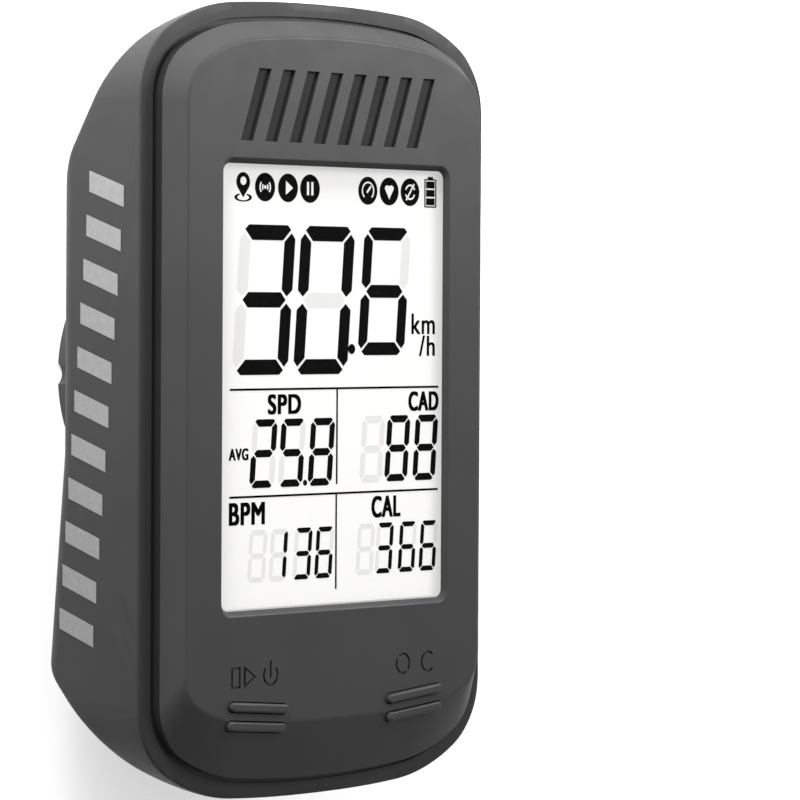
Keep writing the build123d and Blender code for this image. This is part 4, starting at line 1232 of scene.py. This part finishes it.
class CYCLING_OT_screws(bpy.types.Operator):
    """Set the housing screws and the mount's countersunk screws"""

    bl_idname = "cycling.screws"
    bl_label = "Screws"

    # node, piece, height of the head in millimetres, countersunk or not, and turn in degrees
    SETS = (
        ("housing_screws", "case_screw_set", 1.4, False, 20),
        ("mount_screws", "mount_screw_set", 1.0, True, 45),
    )

    def execute(self, context):
        settings = context.scene.screw_settings
        tree = screw_set_tree()
        for node, name, head, flush, turn in self.SETS:
            boxes = islands(node)
            low, high = boxes[0]
            head_radius = (high.x - low.x) / 2
            single = screw_mesh(
                name, head_radius, head * MM, SHANK_RADIUS, high.z - low.z, flush, settings
            )
            model = bpy.data.objects.new(f"{name}_model", single)
            points = bpy.data.meshes.new(f"{name}_points")
            seats = [((a.x + b.x) / 2, (a.y + b.y) / 2, a.z) for a, b in boxes]
            points.from_pydata(seats, [], [])
            values = {"Screw": model, "Turn": (0.0, 0.0, radians(turn)), "Material": finish_of("steel")}
            mesh = tree.grow(name, points, values)
            bpy.data.objects.remove(model)
            piece = new_piece(name, mesh, "steel")
            settle_normals(piece, 40)
            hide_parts(node)
        return {"FINISHED"}


# Port cover

FLAP_CREASE, FLAP_EDGE = radians(50), 0.1 * MM


def is_outer_flap_edge(edge):
    """A sharp convex edge of the rubber cover."""
    return edge.is_convex and edge.calc_face_angle() > FLAP_CREASE


class CYCLING_OT_port(bpy.types.Operator):
    """Round the rubber port cover, and dress its anchor and the socket behind it"""

    bl_idname = "cycling.port"
    bl_label = "Port"

    def execute(self, context):
        softened("port_cover", "port_flap", ((FLAP_EDGE, is_outer_flap_edge),))
        dress("port_cover_anchor", "usb_connector", "usb_board")
        return {"FINISHED"}


# Mount

MOUNT_CREASE, MOUNT_EDGE = radians(60), 0.15 * MM


def is_mount_edge(edge):
    """A level convex edge of the mount plate."""
    lies_level = abs(edge.verts[0].co.z - edge.verts[1].co.z) < HAIR
    return edge.is_convex and edge.calc_face_angle() > MOUNT_CREASE and lies_level


class CYCLING_OT_mount(bpy.types.Operator):
    """Round the edges of the quarter-turn mount"""

    bl_idname = "cycling.mount"
    bl_label = "Quarter-turn mount"

    def execute(self, context):
        softened("mount_plate", "quarter_turn_plate", ((MOUNT_EDGE, is_mount_edge),))
        return {"FINISHED"}


# Electronics


class CYCLING_OT_electronics(bpy.types.Operator):
    """Dress the board, what stands on it, and the battery group"""

    bl_idname = "cycling.electronics"
    bl_label = "Electronics"

    def execute(self, context):
        dress("main_board", "board_screws", "processor", "processor_shield", "radio_module", "power_chip")
        dress("memory_chip", "board_passives", "gps_antenna", "radio_antenna", "buzzer")
        dress("battery", "battery_pad", "battery_leads", "battery_connector")
        return {"FINISHED"}


# Stage

CAMERA_PLACE = Vector((-324.7, 7.2, 321.6)) * MM
CAMERA_RIGHT = Vector((0.6627, 0.0058, 0.7489))
CAMERA_UP = Vector((0.0125, 0.9997, -0.0188))
FLOOR_SIDE = 6.0
FLOOR_GLOW = 0.4  # share of the floor's light that comes through it
FLOOR_GAP = 0.05 * MM
KEY_PLACE, KEY_SIZE = (0.15, 0.09, 0.14), (0.09, 0.07)
FILL_PLACE, FILL_SIZE = (-0.1, 0.13, 0.05), (0.06, 0.06)
SKY_REAR, SKY_FRONT = 0.35, 1.5  # brightness of the sky at its two ends
SKY_EDGE = 0.8  # how far along the body's direction the sky has changed in full


def add_camera(focal_length):
    """The camera, with the body's forward end up in the picture."""
    data = bpy.data.cameras.new("camera")
    data.lens = focal_length
    data.sensor_width = 36.0
    data.clip_start = 0.02
    camera = bpy.data.objects.new("camera", data)
    back = CAMERA_RIGHT.cross(CAMERA_UP).normalized()
    up = back.cross(CAMERA_RIGHT).normalized()
    turn = Matrix((CAMERA_RIGHT.normalized(), up, back)).transposed()
    camera.matrix_world = Matrix.Translation(CAMERA_PLACE) @ turn.to_4x4()
    bpy.context.scene.collection.objects.link(camera)
    bpy.context.scene.camera = camera


def add_lamp(name, place, size, power, glint=True):
    """A soft lamp that faces the middle of the object, seen in its gloss or not."""
    aim = (CAD_BOX[0] + CAD_BOX[1]) / 2
    data = bpy.data.lights.new(name, "AREA")
    data.shape = "RECTANGLE"
    data.size, data.size_y = size
    data.energy = power
    lamp = bpy.data.objects.new(name, data)
    lamp.location = place
    lamp.rotation_mode = "QUATERNION"
    lamp.visible_glossy = glint
    lamp.rotation_quaternion = (aim - Vector(place)).to_track_quat("-Z", "Y")
    bpy.context.scene.collection.objects.link(lamp)


def add_floor(tint):
    """A wide plain floor under the mount."""
    mesh = bpy.data.meshes.new("floor")
    half = FLOOR_SIDE / 2
    z = CAD_BOX[0].z - FLOOR_GAP
    corners = [(-half, -half, z), (half, -half, z), (half, half, z), (-half, half, z)]
    mesh.from_pydata(corners, [], [(0, 1, 2, 3)])
    base = [value * (1 - FLOOR_GLOW) for value in tint]
    finish = Finish("floor_paper", base, 0.85, Emission_Color=(*tint, 1.0), Emission_Strength=FLOOR_GLOW)
    finish.mottle(finish.noise(0.2, 2.0), *shades(base, 0.01))
    mesh.materials.append(finish.material)
    floor = bpy.data.objects.new("floor", mesh)
    bpy.context.scene.collection.objects.link(floor)


def soft_sky(strength):
    """White light from all round, brighter from the body's forward end than from its rear."""
    world = bpy.data.worlds.new("soft_sky")
    world.use_nodes = True
    nodes, links = world.node_tree.nodes, world.node_tree.links
    direction = nodes.new("ShaderNodeTexCoord")
    parts = nodes.new("ShaderNodeSeparateXYZ")
    ramp = nodes.new("ShaderNodeMapRange")
    values = (
        ("From Min", -SKY_EDGE), ("From Max", SKY_EDGE),
        ("To Min", strength * SKY_REAR), ("To Max", strength * SKY_FRONT),
    )
    for socket, value in values:
        ramp.inputs[socket].default_value = value
    links.new(direction.outputs["Generated"], parts.inputs["Vector"])
    links.new(parts.outputs["Y"], ramp.inputs["Value"])
    links.new(ramp.outputs["Result"], nodes["Background"].inputs["Strength"])
    nodes["Background"].inputs["Color"].default_value = (1, 1, 1, 1)
    return world


class CYCLING_OT_stage(bpy.types.Operator):
    """Set the floor, the soft lamps, the even light and the camera"""

    bl_idname = "cycling.stage"
    bl_label = "Stage"

    def execute(self, context):
        settings = context.scene.stage_settings
        add_floor(tuple(settings.floor_colour))
        add_lamp("key_lamp", KEY_PLACE, KEY_SIZE, settings.key_power)
        add_lamp("fill_lamp", FILL_PLACE, FILL_SIZE, settings.fill_power, glint=False)
        context.scene.world = soft_sky(settings.sky)
        context.scene.view_settings.view_transform = "Standard"
        add_camera(settings.focal_length)
        return {"FINISHED"}


# Panel, registration and running


STEPS = (
    CYCLING_OT_housing, CYCLING_OT_cover, CYCLING_OT_display, CYCLING_OT_keys, CYCLING_OT_side_print,
    CYCLING_OT_screws, CYCLING_OT_port, CYCLING_OT_mount, CYCLING_OT_electronics, CYCLING_OT_stage,
)


class CYCLING_PT_steps(bpy.types.Panel):
    """Lists the steps and their settings"""

    bl_idname = "CYCLING_PT_steps"
    bl_label = "Cycling computer"
    bl_space_type = "VIEW_3D"
    bl_region_type = "UI"
    bl_category = "Cycling"

    def draw(self, context):
        for step in STEPS:
            self.layout.operator(step.bl_idname)
        for name, group in SETTINGS.items():
            box = self.layout.box()
            for field in group.__annotations__:
                box.prop(getattr(context.scene, name), field)


SETTINGS = {
    "casing_settings": CasingSettings,
    "screen_settings": DisplaySettings,
    "print_settings": PrintSettings,
    "screw_settings": ScrewSettings,
    "stage_settings": StageSettings,
}
CLASSES = (*SETTINGS.values(), *STEPS, CYCLING_PT_steps)


def register():
    """Register the classes and hang the settings on the scene."""
    for item in CLASSES:
        bpy.utils.register_class(item)
    for name, group in SETTINGS.items():
        setattr(bpy.types.Scene, name, bpy.props.PointerProperty(type=group))


def unregister():
    """Take the settings and the classes away again."""
    for name in SETTINGS:
        delattr(bpy.types.Scene, name)
    for item in reversed(CLASSES):
        bpy.utils.unregister_class(item)


def main():
    """Run every step in order."""
    register()
    for step in STEPS:
        group, action = step.bl_idname.split(".")
        getattr(getattr(bpy.ops, group), action)()
    bpy.context.view_layer.update()


if __name__ == "__main__":
    main()
